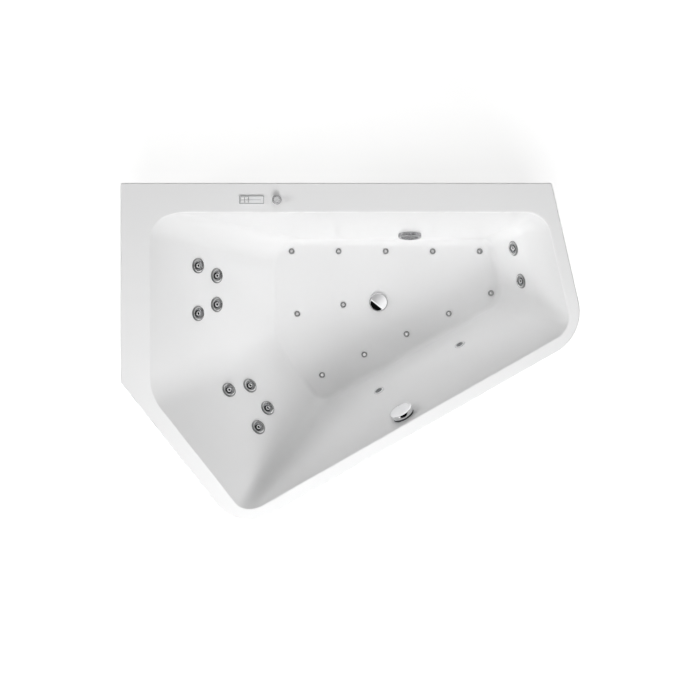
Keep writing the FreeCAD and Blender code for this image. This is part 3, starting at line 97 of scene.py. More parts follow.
class Board:
    def __init__(self, tree):
        self.tree = tree
        tree.nodes.clear()

    def feed(self, socket, value):
        if isinstance(value, Wire):
            self.tree.links.new(value.socket, socket)
        elif socket.type == "RGBA" and len(value) == 3:
            socket.default_value = (*value, 1.0)
        else:
            socket.default_value = value

    def node(self, kind, settings=None, sockets=None, out=0):
        made = self.tree.nodes.new("ShaderNode" + kind)
        for key, value in (settings or {}).items():
            if key == "stops":
                while len(made.color_ramp.elements) < len(value):
                    made.color_ramp.elements.new(1.0)
                for stop, (place, colour) in zip(made.color_ramp.elements, value):
                    stop.position = place
                    stop.color = (*colour, 1.0)
            else:
                setattr(made, key, value)
        pairs = sockets.items() if isinstance(sockets, dict) else enumerate(sockets or [])
        for key, value in pairs:
            self.feed(made.inputs[key], value)
        return Wire(self, made.outputs[out]) if made.outputs else None

    def mix(self, share, first, second):  # colours only, by the node's own socket numbers
        return self.node("Mix", {"data_type": "RGBA"}, {0: share, 6: first, 7: second}, 2)

    def directRays(self):  # 1 for rays from the camera, a mirror or glass, 0 for light that falls on things
        path = self.tree.nodes.new("ShaderNodeLightPath")
        names = ("Is Camera Ray", "Is Glossy Ray", "Is Transmission Ray")
        camera, mirror, glass = [Wire(self, path.outputs[name]) for name in names]
        return self.node("Math", {"operation": "ADD", "use_clamp": True}, [camera + mirror, glass])


class Paint(Board):
    def __init__(self, name, look=None):
        self.look = look
        self.material = bpy.data.materials.new(name)
        self.material.use_nodes = True
        super().__init__(self.material.node_tree)
        self.place = self.node("TexCoord", out="Object")

    def marked(self, name):  # a value written on the mesh's faces
        return self.node("Attribute", {"attribute_name": name}, out="Fac")

    def stretched(self, scale, turn=(0, 0, 0)):
        return self.node("Mapping", None, {"Vector": self.place, "Scale": scale, "Rotation": turn})

    def noise(self, scale, detail=3.0, rough=0.55, vector=None):
        return self.node("TexNoise", None, {"Vector": vector or self.place, "Scale": scale,
                                                      "Detail": detail, "Roughness": rough})

    def noises(self, *names):  # those that look describes
        return [self.noise(*self.look[name]) for name in names]

    def rough(self, share):
        return self.look["roughness"] + share * self.look["uneven"]

    def cells(self, scale, out="Color", vector=None, feature="F1"):
        return self.node("TexVoronoi", {"feature": feature},
                         {"Vector": vector or self.place, "Scale": scale}, out)

    def grey(self, colour):  # one channel of a colour
        return self.node("SeparateColor", None, [colour])

    def glow(self, strength):
        return self.node("Emission", None, {"Color": (1, 1, 1), "Strength": strength})

    def output(self, shader):
        self.node("OutputMaterial", None, {"Surface": shader})
        return self.material

    def finish(self, height, **sockets):  # what sockets lacks is taken from look
        names = {"colour": "Base Color", "roughness": "Roughness", "metal": "Metallic", "normal": "Normal",
                 "coat": "Coat Weight", "coatRoughness": "Coat Roughness", "shine": "Specular IOR Level",
                 "clear": "Transmission Weight", "ior": "IOR"}
        strength, depth = self.look["relief"]
        bump = {"Strength": strength, "Distance": depth, "Height": height}
        sockets["normal"] = self.node("Bump", None, bump)
        shader = self.tree.nodes.new("ShaderNodeBsdfPrincipled")
        for key, value in {**self.look, **sockets}.items():
            if key in names:
                self.feed(shader.inputs[names[key]], value)
        return self.output(Wire(self, shader.outputs[0]))


# Finishes: a noise is given by scale, detail and roughness, a relief by strength and depth


def tinted(colour, factor, lift=0.0):
    return tuple(min(1.0, channel * factor + lift) for channel in colour)


def even(level):
    return (level,) * 3


acrylicLook = {"white": ((0.905, 0.906, 0.909), (0.925, 0.925, 0.925)), "cloud": (2.2, 4.0),
               "haze": (31.0, 3.0), "ripple": 0.02, "resin": ((0.50, 0.47, 0.36), (0.68, 0.65, 0.54)),
               "fibre": (240.0, 5.0, 0.7), "strand": (0.74, 0.72, 0.63), "strands": 95.0, "strandEdge": 0.35,
               "shares": (0.5, 0.5), "roughness": 0.22, "uneven": 0.06, "backRoughness": 0.4,
               "relief": (0.5, 0.0015), "shine": 0.3, "coat": 0.12, "coatRoughness": 0.06}


def acrylicPaint():
    # polished white sheet inside, sprayed glass-fibre backing outside
    look = acrylicLook
    paint = Paint("acrylicSheet", look)
    backed = paint.marked("backed")
    cloud, haze, fibre = paint.noises("cloud", "haze", "fibre")
    edges = paint.cells(look["strands"], "Distance", feature="DISTANCE_TO_EDGE")
    matt = edges.ramp(0.0, look["strandEdge"])
    white = paint.mix(cloud, *look["white"])
    resin = paint.mix(matt, look["strand"], paint.mix(fibre, *look["resin"]))
    weave = fibre * look["shares"][0] + matt * look["shares"][1]
    height = backed * weave + (1 - backed) * haze * look["ripple"]
    return paint.finish(height, colour=paint.mix(backed, white, resin), coat=(1 - backed) * look["coat"],
                        roughness=backed * look["backRoughness"] + look["roughness"] + haze * look["uneven"])


# the apron is the shell's white acrylic painted darker than the shell: painted shade that sets the lit apron apart
shadedApronLook = {"white": ((0.85, 0.851, 0.855), (0.875, 0.875, 0.875)), "cloud": (1.7, 4.0), "haze": (26.0, 3.0),
             "roughness": 0.20, "uneven": 0.07, "relief": (0.05, 0.001), "shine": 0.3, "coat": 0.15,
             "coatRoughness": 0.06}


def shadedApronPaint():
    look = shadedApronLook
    paint = Paint("apronSheet", look)
    cloud, haze = paint.noises("cloud", "haze")
    return paint.finish(haze, colour=paint.mix(cloud, *look["white"]), roughness=paint.rough(haze))


chromeLook = {"film": (55.0, 5.0, 0.6), "filmEdge": (0.45, 0.75), "spots": 210.0, "spotEdge": (0.05, 0.32),
              "spotShare": 0.5, "darker": 0.9, "metal": 1.0, "depth": 0.0006}


def chromePaint(name, colour, low, high, smudge, wave=0.03):
    # roughness goes from low where it is clean to high where a film or a spot dulls it
    look = dict(chromeLook, relief=(wave, chromeLook["depth"]))
    paint = Paint(name, look)
    film = paint.noise(*look["film"])
    spots = paint.cells(look["spots"], "Distance").ramp(*look["spotEdge"])
    dull = film.ramp(*look["filmEdge"]) * smudge + (1 - spots) * smudge * look["spotShare"]
    return paint.finish(film, colour=paint.mix(film, tinted(colour, look["darker"]), colour),
                        roughness=low + dull * (high - low))


plasticLook = {"mould": (3.0, 0.6), "cloud": (14.0, 4.0), "darker": 0.9, "lighter": 1.06, "uneven": 0.12,
               "depth": 0.0006}


def plasticPaint(name, colour, roughness, grain, strength, coat=0.0):
    look = dict(plasticLook, relief=(strength, plasticLook["depth"]), coat=coat)
    paint = Paint(name, look)
    mould = paint.noise(grain, *look["mould"])
    cloud = paint.noise(*look["cloud"])
    shades = tinted(colour, look["darker"]), tinted(colour, look["lighter"])
    return paint.finish(mould, colour=paint.mix(cloud, *shades),
                        roughness=roughness - look["uneven"] / 2 + cloud * look["uneven"])


pipeLook = {"scuff": (38.0, 6.0, 0.65), "scuffEdge": (0.42, 0.72), "lines": (60.0, 2.0), "darker": 0.86,
            "roughness": 0.32, "uneven": 0.2, "relief": (0.08, 0.0006)}


def pipePaint(name, colour, stretch):
    # drawn pipe: faint lines along its length and scuffs
    look = pipeLook
    paint = Paint(name, look)
    scuff = paint.noise(*look["scuff"])
    lines = paint.noise(*look["lines"], vector=paint.stretched(stretch))
    worn = scuff.ramp(*look["scuffEdge"])
    return paint.finish(lines, colour=paint.mix(worn, colour, tinted(colour, look["darker"])),
                        roughness=paint.rough(scuff))


zincLook = {"crystal": 70.0, "small": 230.0, "shares": (0.6, 0.4), "film": (9.0, 5.0), "metal": 0.85,
            "uneven": (0.18, 0.1), "relief": (0.05, 0.0008)}


def zincPaint(name, base, spangle, roughness):
    # hot-dip coat: crystals of different brightness
    look = zincLook
    paint = Paint(name, look)
    crystal = paint.grey(paint.cells(look["crystal"]))
    small = paint.grey(paint.cells(look["small"]))
    film = paint.noise(*look["film"])
    shade = crystal * look["shares"][0] + small * look["shares"][1]
    return paint.finish(shade, colour=paint.mix(shade, base, spangle),
                        roughness=roughness + shade * look["uneven"][0] + film * look["uneven"][1])


enamelLook = {"peel": (420.0, 2.0), "dust": (18.0, 6.0, 0.65), "dustEdge": (0.5, 0.8), "dusty": (1.5, 0.02),
              "roughness": 0.30, "uneven": 0.22, "relief": (0.16, 0.0005), "coat": 0.25,
              "coatRoughness": 0.15}


def enamelPaint(name, colour):
    look = enamelLook
    paint = Paint(name, look)
    peel, dust = paint.noises("peel", "dust")
    settled = dust.ramp(*look["dustEdge"])
    return paint.finish(peel, colour=paint.mix(settled, colour, tinted(colour, *look["dusty"])),
                        roughness=paint.rough(dust))


rubberLook = {"grain": (300.0, 4.0, 0.7), "bloom": (24.0, 5.0), "bloomEdge": (0.5, 0.85),
              "paler": (2.2, 0.01), "roughness": 0.72, "uneven": 0.2, "relief": (0.3, 0.0006)}


def rubberPaint(name, colour):
    look = rubberLook
    paint = Paint(name, look)
    grain, bloom = paint.noises("grain", "bloom")
    chalky = bloom.ramp(*look["bloomEdge"])
    return paint.finish(grain, colour=paint.mix(chalky, colour, tinted(colour, *look["paler"])),
                        roughness=paint.rough(grain))


# ball: near-black colours on the ball and the bore, painted shade for the gap round the spout
spoutLook = {"spout": ((0.84, 0.84, 0.85), (0.90, 0.90, 0.90)), "cloud": (160.0, 4.0), "lime": (420.0, 3.0),
             "ball": ((0.022, 0.022, 0.023), (0.04, 0.04, 0.042)), "roughness": 0.34, "smoother": 0.16,
             "uneven": 0.08, "relief": (0.05, 0.0003), "coat": 0.4}


def nozzleShadedBallPaint():
    # white spout in a dark ball: the tone attribute says which. The ball's and bore's near-black colour is painted
    # shade, standing for the shade in the gap round the spout.
    look = spoutLook
    paint = Paint("nozzlePlastic", look)
    tone = paint.marked("tone")
    cloud, lime = paint.noises("cloud", "lime")
    colour = paint.mix(tone, paint.mix(cloud, *look["ball"]), paint.mix(cloud, *look["spout"]))
    return paint.finish(lime, colour=colour, coat=tone * look["coat"],
                        roughness=look["roughness"] - tone * look["smoother"] + lime * look["uneven"])


bandLook = {"film": (130.0, 5.0), "lighter": 1.25, "darker": 0.93, "smoother": 0.16, "uneven": 0.08,
            "metal": 1.0, "relief": (0.04, 0.0004)}


def twoTonePaint(name, plain, bright, roughness):
    # satin metal with a polished band: the tone attribute says where
    look = bandLook
    paint = Paint(name, look)
    tone = paint.marked("tone")
    film = paint.noise(*look["film"])
    dull = paint.mix(film, even(plain), even(plain * look["lighter"]))
    clean = paint.mix(film, even(bright * look["darker"]), even(bright))
    return paint.finish(film, colour=paint.mix(tone, dull, clean),
                        roughness=roughness - tone * look["smoother"] + film * look["uneven"])


boardLook = {"flake": 95.0, "flakeStretch": (1.0, 0.45, 1.0), "flakeTurn": (0, 0, 0.6),
             "chip": 170.0, "chipStretch": (0.5, 1.0, 1.0), "chipTurn": (0, 0, -0.4),
             "dust": (350.0, 3.0), "shares": (0.55, 0.35, 0.1), "roughness": 0.62, "uneven": 0.2,
             "relief": (0.25, 0.0007),
             "stops": [(0.0, (0.30, 0.19, 0.10)), (0.45, (0.52, 0.37, 0.22)),
                       (0.8, (0.66, 0.51, 0.33)), (1.0, (0.76, 0.63, 0.45))]}


def boardPaint():
    # pressed board: flat flakes turned every way
    look = boardLook
    paint = Paint("pressedBoard", look)
    flakePlace = paint.stretched(look["flakeStretch"], look["flakeTurn"])
    chipPlace = paint.stretched(look["chipStretch"], look["chipTurn"])
    flake = paint.grey(paint.cells(look["flake"], vector=flakePlace))
    chip = paint.grey(paint.cells(look["chip"], vector=chipPlace))
    dust = paint.noise(*look["dust"])
    shade = flake * look["shares"][0] + chip * look["shares"][1] + dust * look["shares"][2]
    colour = paint.node("ValToRGB", {"stops": look["stops"]}, [shade])
    return paint.finish(shade, colour=colour, roughness=paint.rough(dust))


lensLook = {"frost": (160.0, 3.0), "paler": (1.08, 0.01), "uneven": 0.06, "ior": 1.49, "coat": 0.3,
            "relief": (0.04, 0.0004)}


def lensPaint(name, colour, roughness, clear):
    look = lensLook
    paint = Paint(name, look)
    frost = paint.noise(*look["frost"])
    return paint.finish(frost, colour=paint.mix(frost, colour, tinted(colour, *look["paler"])),
                        roughness=roughness + frost * look["uneven"], clear=clear)


# chrome: colour, roughness where clean and where dull, smudges, waviness
# plastic: colour, roughness, scale and strength of the grain, coat
# two-tone: grey of the satin and of the band, roughness
finishes = {
    "acrylic_white": acrylicPaint(),
    "apron": shadedApronPaint(),
    "chrome_trim": chromePaint("chromeTrim", (0.80, 0.80, 0.81), 0.03, 0.16, 0.5),
    "mirror": chromePaint("coverChrome", (0.91, 0.91, 0.92), 0.015, 0.05, 0.4, 0.004),
    "knob_satin": chromePaint("knobSatin", (0.86, 0.86, 0.87), 0.18, 0.27, 0.6),
    "satin_trim": chromePaint("satinTrim", (0.50, 0.50, 0.51), 0.28, 0.44, 0.7),
    "strainer": chromePaint("strainerSatin", (0.46, 0.46, 0.47), 0.26, 0.40, 0.7),
    "line_grey": plasticPaint("panelLines", (0.42, 0.425, 0.43), 0.40, 420.0, 0.12),
    "lamp_ring": plasticPaint("lampRing", (0.82, 0.82, 0.83), 0.25, 420.0, 0.08, 0.1),
    "nozzle_white": nozzleShadedBallPaint(),
    "air_cap": twoTonePaint("airCapMetal", 0.44, 0.96, 0.36),
    "jet_ring": twoTonePaint("jetRingMetal", 0.40, 0.95, 0.40),
    "pipe_white": pipePaint("pressurePipe", (0.76, 0.76, 0.75), (1.0, 1.0, 0.08)),
    "socket": plasticPaint("socketPlastic", (0.70, 0.70, 0.69), 0.38, 520.0, 0.15),
    "fitting_grey": plasticPaint("fittingPlastic", (0.42, 0.43, 0.44), 0.42, 620.0, 0.2),
    "hose_grey": pipePaint("airPipe", (0.55, 0.57, 0.60), (0.1, 1.0, 1.0)),
    "housing_dark": plasticPaint("housingPlastic", (0.055, 0.056, 0.06), 0.46, 700.0, 0.3),
    "box_grey": plasticPaint("boxPlastic", (0.64, 0.65, 0.65), 0.44, 520.0, 0.25),
    "motor_paint": enamelPaint("motorEnamel", (0.10, 0.135, 0.18)),
    "rotor_steel": zincPaint("rotorSteel", (0.42, 0.42, 0.43), (0.62, 0.62, 0.63), 0.2),
    "frame_steel": zincPaint("galvanisedSteel", (0.46, 0.47, 0.48), (0.68, 0.69, 0.70), 0.26),
    "foot_steel": zincPaint("platedSteel", (0.50, 0.48, 0.40), (0.70, 0.68, 0.60), 0.22),
    "foot_rubber": rubberPaint("footRubber", (0.03, 0.03, 0.031)),
    "cable_black": rubberPaint("cableSheath", (0.024, 0.024, 0.026)),
    "board_wood": boardPaint(),
    "panel_grey": plasticPaint("panelPlastic", (0.93, 0.935, 0.94), 0.30, 420.0, 0.12, 0.2),
    "key_white": plasticPaint("keyPlastic", (0.95, 0.95, 0.95), 0.30, 420.0, 0.12, 0.2),
    "window_dark": lensPaint("panelWindow", (0.90, 0.91, 0.92), 0.10, 0.0),
    "lamp_glass": lensPaint("lampLens", (0.17, 0.175, 0.18), 0.16, 0.1),
}
print("finishes made:", len(finishes))


def dress(item, finish):
    item.data.materials.clear()
    item.data.materials.append(finishes[finish])


slotOf = {row["node"]: row["material_slot"] for row in frame["record"]["subparts"]}
# the apron panel takes the darker white, which is painted shade; the others take their own finishes
ownFinish = {"apron_panel": "apron", "lamp_housings": "lamp_ring", "air_knob": "knob_satin",
             "air_base": "knob_satin"}
for name, item in nodes.items():
    dress(item, ownFinish.get(name, slotOf[name]))
print("nodes dressed")


# Surfaces on a grid

weldLook = {"near": 1e-6, "digits": 6, "sliver": 1e-7, "crease": 40}


def addObject(name, data):
    item = bpy.data.objects.new(name, data)
    bpy.context.scene.collection.objects.link(item)
    return item


def quadsOf(index):
    corners = [index[:-1, :-1], index[:-1, 1:], index[1:, 1:], index[1:, :-1]]
    return np.stack(corners, axis=-1).reshape(-1, 4)


def markFaces(mesh, name, values):
    mesh.attributes.new(name, "FLOAT", "FACE").data.foreach_set("value", values)


def smoothMesh(mesh, near, crease, sliver=None):
    work = bmesh.new()
    work.from_mesh(mesh)
    bmesh.ops.remove_doubles(work, verts=work.verts, dist=near)
    if sliver:
        bmesh.ops.dissolve_degenerate(work, edges=work.edges, dist=sliver)
        bmesh.ops.recalc_face_normals(work, faces=work.faces)
    work.to_mesh(mesh)
    work.free()
    mesh.polygons.foreach_set("use_smooth", np.ones(len(mesh.polygons), bool))
    mesh.set_sharp_from_angle(angle=math.radians(crease))


def gridObject(name, grids, crease=weldLook["crease"], tones=None):
    # each grid is rows by columns by 3, and its last column joins up with its first
    points, faces, start = [], [], 0
    for grid in grids:
        rows, columns = grid.shape[:2]
        index = np.arange(rows * columns).reshape(rows, columns) + start
        points.append(grid.reshape(-1, 3))
        faces.append(quadsOf(np.concatenate([index, index[:, :1]], axis=1)))
        start += rows * columns
    mesh = bpy.data.meshes.new(name)
    mesh.from_pydata(np.concatenate(points).tolist(), [], np.concatenate(faces).tolist())
    if tones is not None:  # one value per row of quads, the same for every grid
        row = np.repeat(np.asarray(tones, np.float32), grids[0].shape[1])
        markFaces(mesh, "tone", np.tile(row, len(grids)))
    smoothMesh(mesh, weldLook["near"], crease, weldLook["sliver"])
    return addObject(name, mesh)


def roundedProfile(corners, steps=6):
    # corners of (radius, height, rounding); each rounding becomes an arc tangent to both sides
    spots = np.array([corner[:2] for corner in corners], float)
    path = [spots[:1]]
    for i in range(1, len(spots) - 1):
        rounding = corners[i][2]
        if rounding <= 0:
            path.append(spots[i:i + 1])
            continue
        back, on = spots[i - 1] - spots[i], spots[i + 1] - spots[i]
        back, on = back / np.linalg.norm(back), on / np.linalg.norm(on)
        half = math.acos(np.clip(back @ on, -1, 1)) / 2
        heart = spots[i] + (back + on) / np.linalg.norm(back + on) * rounding / math.sin(half)
        first, last = spots[i] + back * rounding / math.tan(half), spots[i] + on * rounding / math.tan(half)
        share = np.linspace(0, 1, steps)[:, None]
        chord = first + (last - first) * share - heart  # swing the chord out onto the arc
        path.append(heart + chord / np.linalg.norm(chord, axis=1, keepdims=True) * rounding)
    path.append(spots[-1:])
    return np.concatenate(path)


def around(count):
    return np.linspace(0, 2 * np.pi, count, endpoint=False)


def turned(radius, angle, height):
    # radius and height carried round the axis: x = r cos a, y = r sin a, z = height
    return np.stack([radius * np.cos(angle), radius * np.sin(angle), height + 0 * angle], axis=-1)


def lathe(profile, columns):
    return turned(profile[:, :1], around(columns), profile[:, 1:])


def seatAt(origin, along, normal):
    # a place and its three axes, in the order along, across, normal
    along, normal = np.array(along, float), np.array(normal, float)
    normal = normal / np.linalg.norm(normal)
    across = np.cross(normal, along)
    across = across / np.linalg.norm(across)
    return np.array(origin, float), np.stack([np.cross(across, normal), across, normal])


def flatSeat(origin):
    return seatAt(origin, (1, 0, 0), (0, 0, 1))


def put(points, seat):
    return points @ seat[1] + seat[0]


def fit(item, body, slot, finish=None, standsFor=()):
    dress(item, finish or slot)
    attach(item, body)
    if standsFor:
        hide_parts(*standsFor)


# Shell skin: the solid's own mesh, merged and smoothed, with its outside marked as backed

shellLook = {"near": 2e-6, "crease": 34, "backedBelow": -0.06}


def shellSkin():
    mesh = nodes["tub_shell"].data.copy()
    if mesh.attributes.get("custom_normal"):
        mesh.attributes.remove(mesh.attributes["custom_normal"])
    smoothMesh(mesh, shellLook["near"], shellLook["crease"])
    normals = np.zeros(len(mesh.polygons) * 3, np.float32)
    mesh.polygons.foreach_get("normal", normals)
    backed = normals.reshape(-1, 3)[:, 2] < shellLook["backedBelow"]
    markFaces(mesh, "backed", backed.astype(np.float32))
    skin = addObject("tubSkin", mesh)
    weigh = skin.modifiers.new("evenShading", "WEIGHTED_NORMAL")
    weigh.keep_sharp = True
    fit(skin, "bath", "acrylic_white", standsFor=["tub_shell"])


shellSkin()
print("shell skin made")


# Waste cover and overflow knob: crowned discs with a rounded edge, on a stem

discLook = {"faceRows": 18, "edgeShare": 0.8, "footRound": 0.0005, "arcSteps": 8, "columns": 96}
coverLook = {"radius": 0.039, "top": 0.010, "crown": 0.0007, "foot": 0.0028, "edge": 0.0062, "wall": 0.0065,
             "slope": (0, 0), "stem": 0.004, "stemEnd": -0.058}
knobLook = {"radius": 0.046, "top": 0.027, "crown": 0.0006, "foot": 0.008, "edge": 0.0016, "wall": 0.0035,
            "slope": (0.0055, 0.0022), "stem": 0.010, "stemEnd": -0.030}


def crownedDisc(name, look, seat):
    # a shallow dome, height = top - crown (r / radius)^2, then a sloped rim, a rounded edge and a plain side
    radius, foot, inner = look["radius"], look["foot"], look["radius"] - look["wall"]
    soft = discLook["footRound"]
    reach = np.linspace(0, radius - look["edge"] - look["slope"][0], discLook["faceRows"])
    face = np.stack([reach, look["top"] - look["crown"] * (reach / radius) ** 2], axis=1)
    brim = face[-1, 1] - look["slope"][1]
    ceiling = brim - look["wall"]
    side = roundedProfile([(*face[-1], 0), (radius, brim, look["edge"] * discLook["edgeShare"]),
                           (radius, foot, soft), (inner, foot, soft), (inner, ceiling, 0)],
                          discLook["arcSteps"])
    stem = [(look["stem"], ceiling), (look["stem"], look["stemEnd"]), (0, look["stemEnd"])]
    profile = np.concatenate([face, side[1:], stem])
    return gridObject(name, [put(lathe(profile, discLook["columns"]), seat)])


knobTurn = joints["overflow_turn"]
knobSeat = seatAt(knobTurn["pos_m"], np.cross((0, 0, 1), knobTurn["axis"]), knobTurn["axis"])
wasteCover = crownedDisc("wasteCover", coverLook, flatSeat(joints["drain_lift"]["pos_m"]))
fit(wasteCover, "drain_plug", "chrome_trim", "mirror", standsFor=["drain_cover"])
overflowKnob = crownedDisc("overflowKnob", knobLook, knobSeat)
fit(overflowKnob, "overflow_control", "chrome_trim", "mirror", standsFor=["overflow_knob"])
print("cover and knob made")


# Water jets: a dished ring and a ball nozzle on each seat

wallLean = {"left": 464 / 460, "shoulder": 487 / 460, "foot": 115 / 220.8}  # each wall's run over its rise
ballDepth = 0.010
swivel = "_swivel"


def jetSeat(name):
    # the hinge lies along the wall, so the wall's normal follows from its lean
    turn = joints[name + swivel]
    along = np.array(turn["axis"])
    normal = np.array([along[1], -along[0], wallLean[name.split("_")[0]]])
    normal = normal / np.linalg.norm(normal)
    return seatAt(np.array(turn["pos_m"]) + normal * ballDepth, along, normal)


nozzleNames = [name[:-len(swivel)] for name in joints if name.endswith(swivel)]
jetSeats = {name: jetSeat(name) for name in nozzleNames}

ringLook = {"inner": 0.0188, "outer": 0.030, "foot": 0.0022, "crest": 0.0262, "high": 0.0059, "dish": 0.0216,
            "dishHigh": 0.0036, "lip": 0.0199, "lipHigh": 0.0043, "bright": 0.0226, "band": 0.0017,
            "rounds": (0.0012, 0.0022, 0.0010, 0.0005, 0.0004), "columns": 72}


def jetRings():
    # the profile runs from the foot over the crest, down into the dish and up to the lip
    look = ringLook
    inner, outer, foot, rounds = look["inner"], look["outer"], look["foot"], look["rounds"]
    profile = roundedProfile([(inner, 0, 0), (outer, 0, 0), (outer, foot, rounds[0]),
                              (look["crest"], look["high"], rounds[1]),
                              (look["dish"], look["dishHigh"], rounds[2]),
                              (look["lip"], look["lipHigh"], rounds[3]),
                              (inner, look["dishHigh"], rounds[4]), (inner, 0, 0)])
    middle = (profile[:-1] + profile[1:]) / 2
    tones = (np.abs(middle[:, 0] - look["bright"]) < look["band"]) & (middle[:, 1] > foot)
    ring = lathe(profile, look["columns"])
    item = gridObject("jetRings", [put(ring, seat) for seat in jetSeats.values()], tones=tones)
    fit(item, "bath", "satin_trim", "jet_ring", standsFor=["jet_rings"])


nozzleLook = {"ball": 0.014, "cut": 48, "ballRows": 18, "bore": 0.005, "spout": 0.0085, "rise": 0.0045,
              "wall": 0.0014, "throat": 0.0054, "throatDrop": 0.0022, "boreDrop": 0.006,
              "rounds": (0.0012, 0.0008, 0.0006), "arcSteps": 5, "columns": 48}


def nozzles():
    # a ball cut off at both poles: r = ball cos latitude, height = ball sin latitude, with a spout on it
    look = nozzleLook
    bore, spout, rise, rounds = look["bore"], look["spout"], look["rise"], look["rounds"]
    latitude = np.radians(np.linspace(-look["cut"], look["cut"], look["ballRows"]))
    ball = np.stack([look["ball"] * np.cos(latitude), look["ball"] * np.sin(latitude) - ballDepth], axis=1)
    low = ball[0, 1]
    tube = roundedProfile([(spout, ball[-1, 1], 0), (spout, rise, rounds[0]),
                           (spout - look["wall"] * 2, rise, rounds[1]),
                           (look["throat"], rise - look["throatDrop"], rounds[2]),
                           (bore, rise - look["boreDrop"], 0), (bore, low, 0)], look["arcSteps"])
    profile = np.concatenate([[(bore, low)], ball, tube])
    tones = np.zeros(len(profile) - 1)
    tones[len(ball) + 1:-2] = 1.0  # spout and lip, not the bore
    nozzle = lathe(profile, look["columns"])
    for name, seat in jetSeats.items():
        item = gridObject(name + "_dressed", [put(nozzle, seat)], tones=tones)
        fit(item, name + "_ball", "nozzle_white", standsFor=[name])


jetRings()
nozzles()
print("jets made:", len(jetSeats))


# Floor air jets: a satin ring, a groove and a polished centre

roomCorner = np.array([cadBox[0][0], cadBox[1][1]])


def spot(along, out, height):
    # measured from the corner of the room, along the back wall and out from it
    return np.array([roomCorner[0] + along, roomCorner[1] - out, height])


floorHeight = 0.140
airLook = {"ring": 0.012, "high": 0.0034, "grooveOut": 0.0084, "grooveIn": 0.0066, "groove": 0.0018,
           "centre": 0.004, "crown": 0.0002, "brim": 0.0008, "domeRows": 7, "stem": 0.0048, "stemEnd": -0.012,
           "rounds": (0.0006, 0.0002, 0.0002, 0.0007, 0.0016, 0.0005), "arcSteps": 5, "columns": 40}
airRows = {"back": ((0.647, 0.242), (1.413, 0.242), 5), "middle": ((0.670, 0.497), (0.857, 0.460), 2),
           "front": ((0.771, 0.746), (1.459, 0.412), 5)}  # first jet, last jet, how many


def airCaps():
    # a shallow dome, height = centre - crown (r / grooveIn)^2, then the groove, the ring and the stem
    look = airLook
    ring, groove, stem, rounds = look["ring"], look["groove"], look["stem"], look["rounds"]
    dome = np.linspace(0, look["grooveIn"] - look["brim"], look["domeRows"])
    centre = np.stack([dome, look["centre"] - look["crown"] * (dome / look["grooveIn"]) ** 2], axis=1)
    outside = roundedProfile([(*centre[-1], 0), (look["grooveIn"], centre[-1, 1], rounds[0]),
                              (look["grooveIn"], groove, rounds[1]), (look["grooveOut"], groove, rounds[2]),
                              (look["grooveOut"], look["high"], rounds[3]), (ring, look["high"], rounds[4]),
                              (ring, 0, 0), (stem, 0, 0), (stem, look["stemEnd"], rounds[5]),
                              (0, look["stemEnd"], 0)], look["arcSteps"])
    profile = np.concatenate([centre, outside[1:]])
    cap = lathe(profile, look["columns"])
    seats = []
    for first, last, count in airRows.values():
        share = np.linspace(0, 1, count)[:, None]
        row = np.array(first) + (np.array(last) - np.array(first)) * share
        seats += [flatSeat(spot(along, out, floorHeight)) for along, out in row]
    item = gridObject("airCaps", [put(cap, seat) for seat in seats], tones=profile[:-1, 0] < look["grooveIn"])
    fit(item, "bath", "satin_trim", "air_cap", standsFor=["air_jet_caps"])


airCaps()
print("air caps made")


# Panel: a grey outline, and grey lines that part the keys and the display

rimHeight = 0.600
cornerSteps, edgeSteps = 7, 5
leastCorner = {"slab": 1e-5, "border": 4e-4}
panelLook = {"along": 0.506, "out": 0.066, "length": 0.097, "width": 0.033, "height": 0.004, "corner": 0.003,
             "border": 0.0030, "inset": 0.0006, "line": 0.0015, "lineRound": 2.2, "lineEdge": 0.0003,
             "lift": 0.0006, "sunk": 0.001, "keyLines": (-0.0425, -0.0270, -0.0115), "keyRow": 0.0114,
             "ends": (-0.0425, 0.0365)}


def roundedLoop(length, width, corner, inset, level, least):
    # four quarter circles, one at each corner of a rectangle drawn in by the inset, all at one level
    corner = max(corner - inset, least)
    quarter = np.linspace(0, np.pi / 2, cornerSteps)
    angle = np.concatenate([quarter + turn * np.pi / 2 for turn in range(4)])
    centre = np.repeat(np.array([(1, 1), (-1, 1), (-1, -1), (1, -1)]), cornerSteps, axis=0)
    half = (np.array([length, width]) - 2 * inset) / 2 - corner
    flat = centre * half + corner * np.stack([np.cos(angle), np.sin(angle)], axis=1)
    return np.c_[flat, np.full(len(flat), level)]


def slab(length, width, height, corner, edge, low=0.0):
    # loops that rise from the foot, round over at the top edge and close at the middle
    turn = np.linspace(0, np.pi / 2, edgeSteps)
    insets = np.concatenate([[0], edge * (1 - np.cos(turn))])
    levels = np.concatenate([[low], height - edge + edge * np.sin(turn)])
    loops = [roundedLoop(length, width, corner, inset, level, leastCorner["slab"])
             for inset, level in zip(insets, levels)]
    return np.stack([0 * loops[0] + (0, 0, low)] + loops + [0 * loops[-1] + (0, 0, height)])


def border(length, width, corner, breadth, height, low):
    # a flat band that runs round a rounded rectangle
    steps = [(0, low), (0, height), (breadth, height), (breadth, low), (0, low)]
    return np.stack([roundedLoop(length, width, corner, inset, level, leastCorner["border"])
                     for inset, level in steps])


def panelLines():
    look = panelLook
    line, high, low = look["line"], look["height"] + look["lift"], look["height"] - look["sunk"]
    section = (high, line / look["lineRound"], look["lineEdge"], low)
    length, width = look["length"] - 2 * look["inset"], look["width"] - 2 * look["inset"]
    first, last = look["ends"]
    grids = [border(length, width, look["corner"], look["border"], high, low),
             slab(last - first, line, *section) + ((first + last) / 2, 0, 0)]
    grids += [slab(line, 2 * look["keyRow"], *section) + (across, 0, 0) for across in look["keyLines"]]
    seat = flatSeat(spot(look["along"], look["out"], rimHeight))
    fit(gridObject("panelLines", [put(grid, seat) for grid in grids]), "bath", "panel_grey", "line_grey")


panelLines()
print("panel made")


# Suction cover: a stout ring with bars across a sunk face


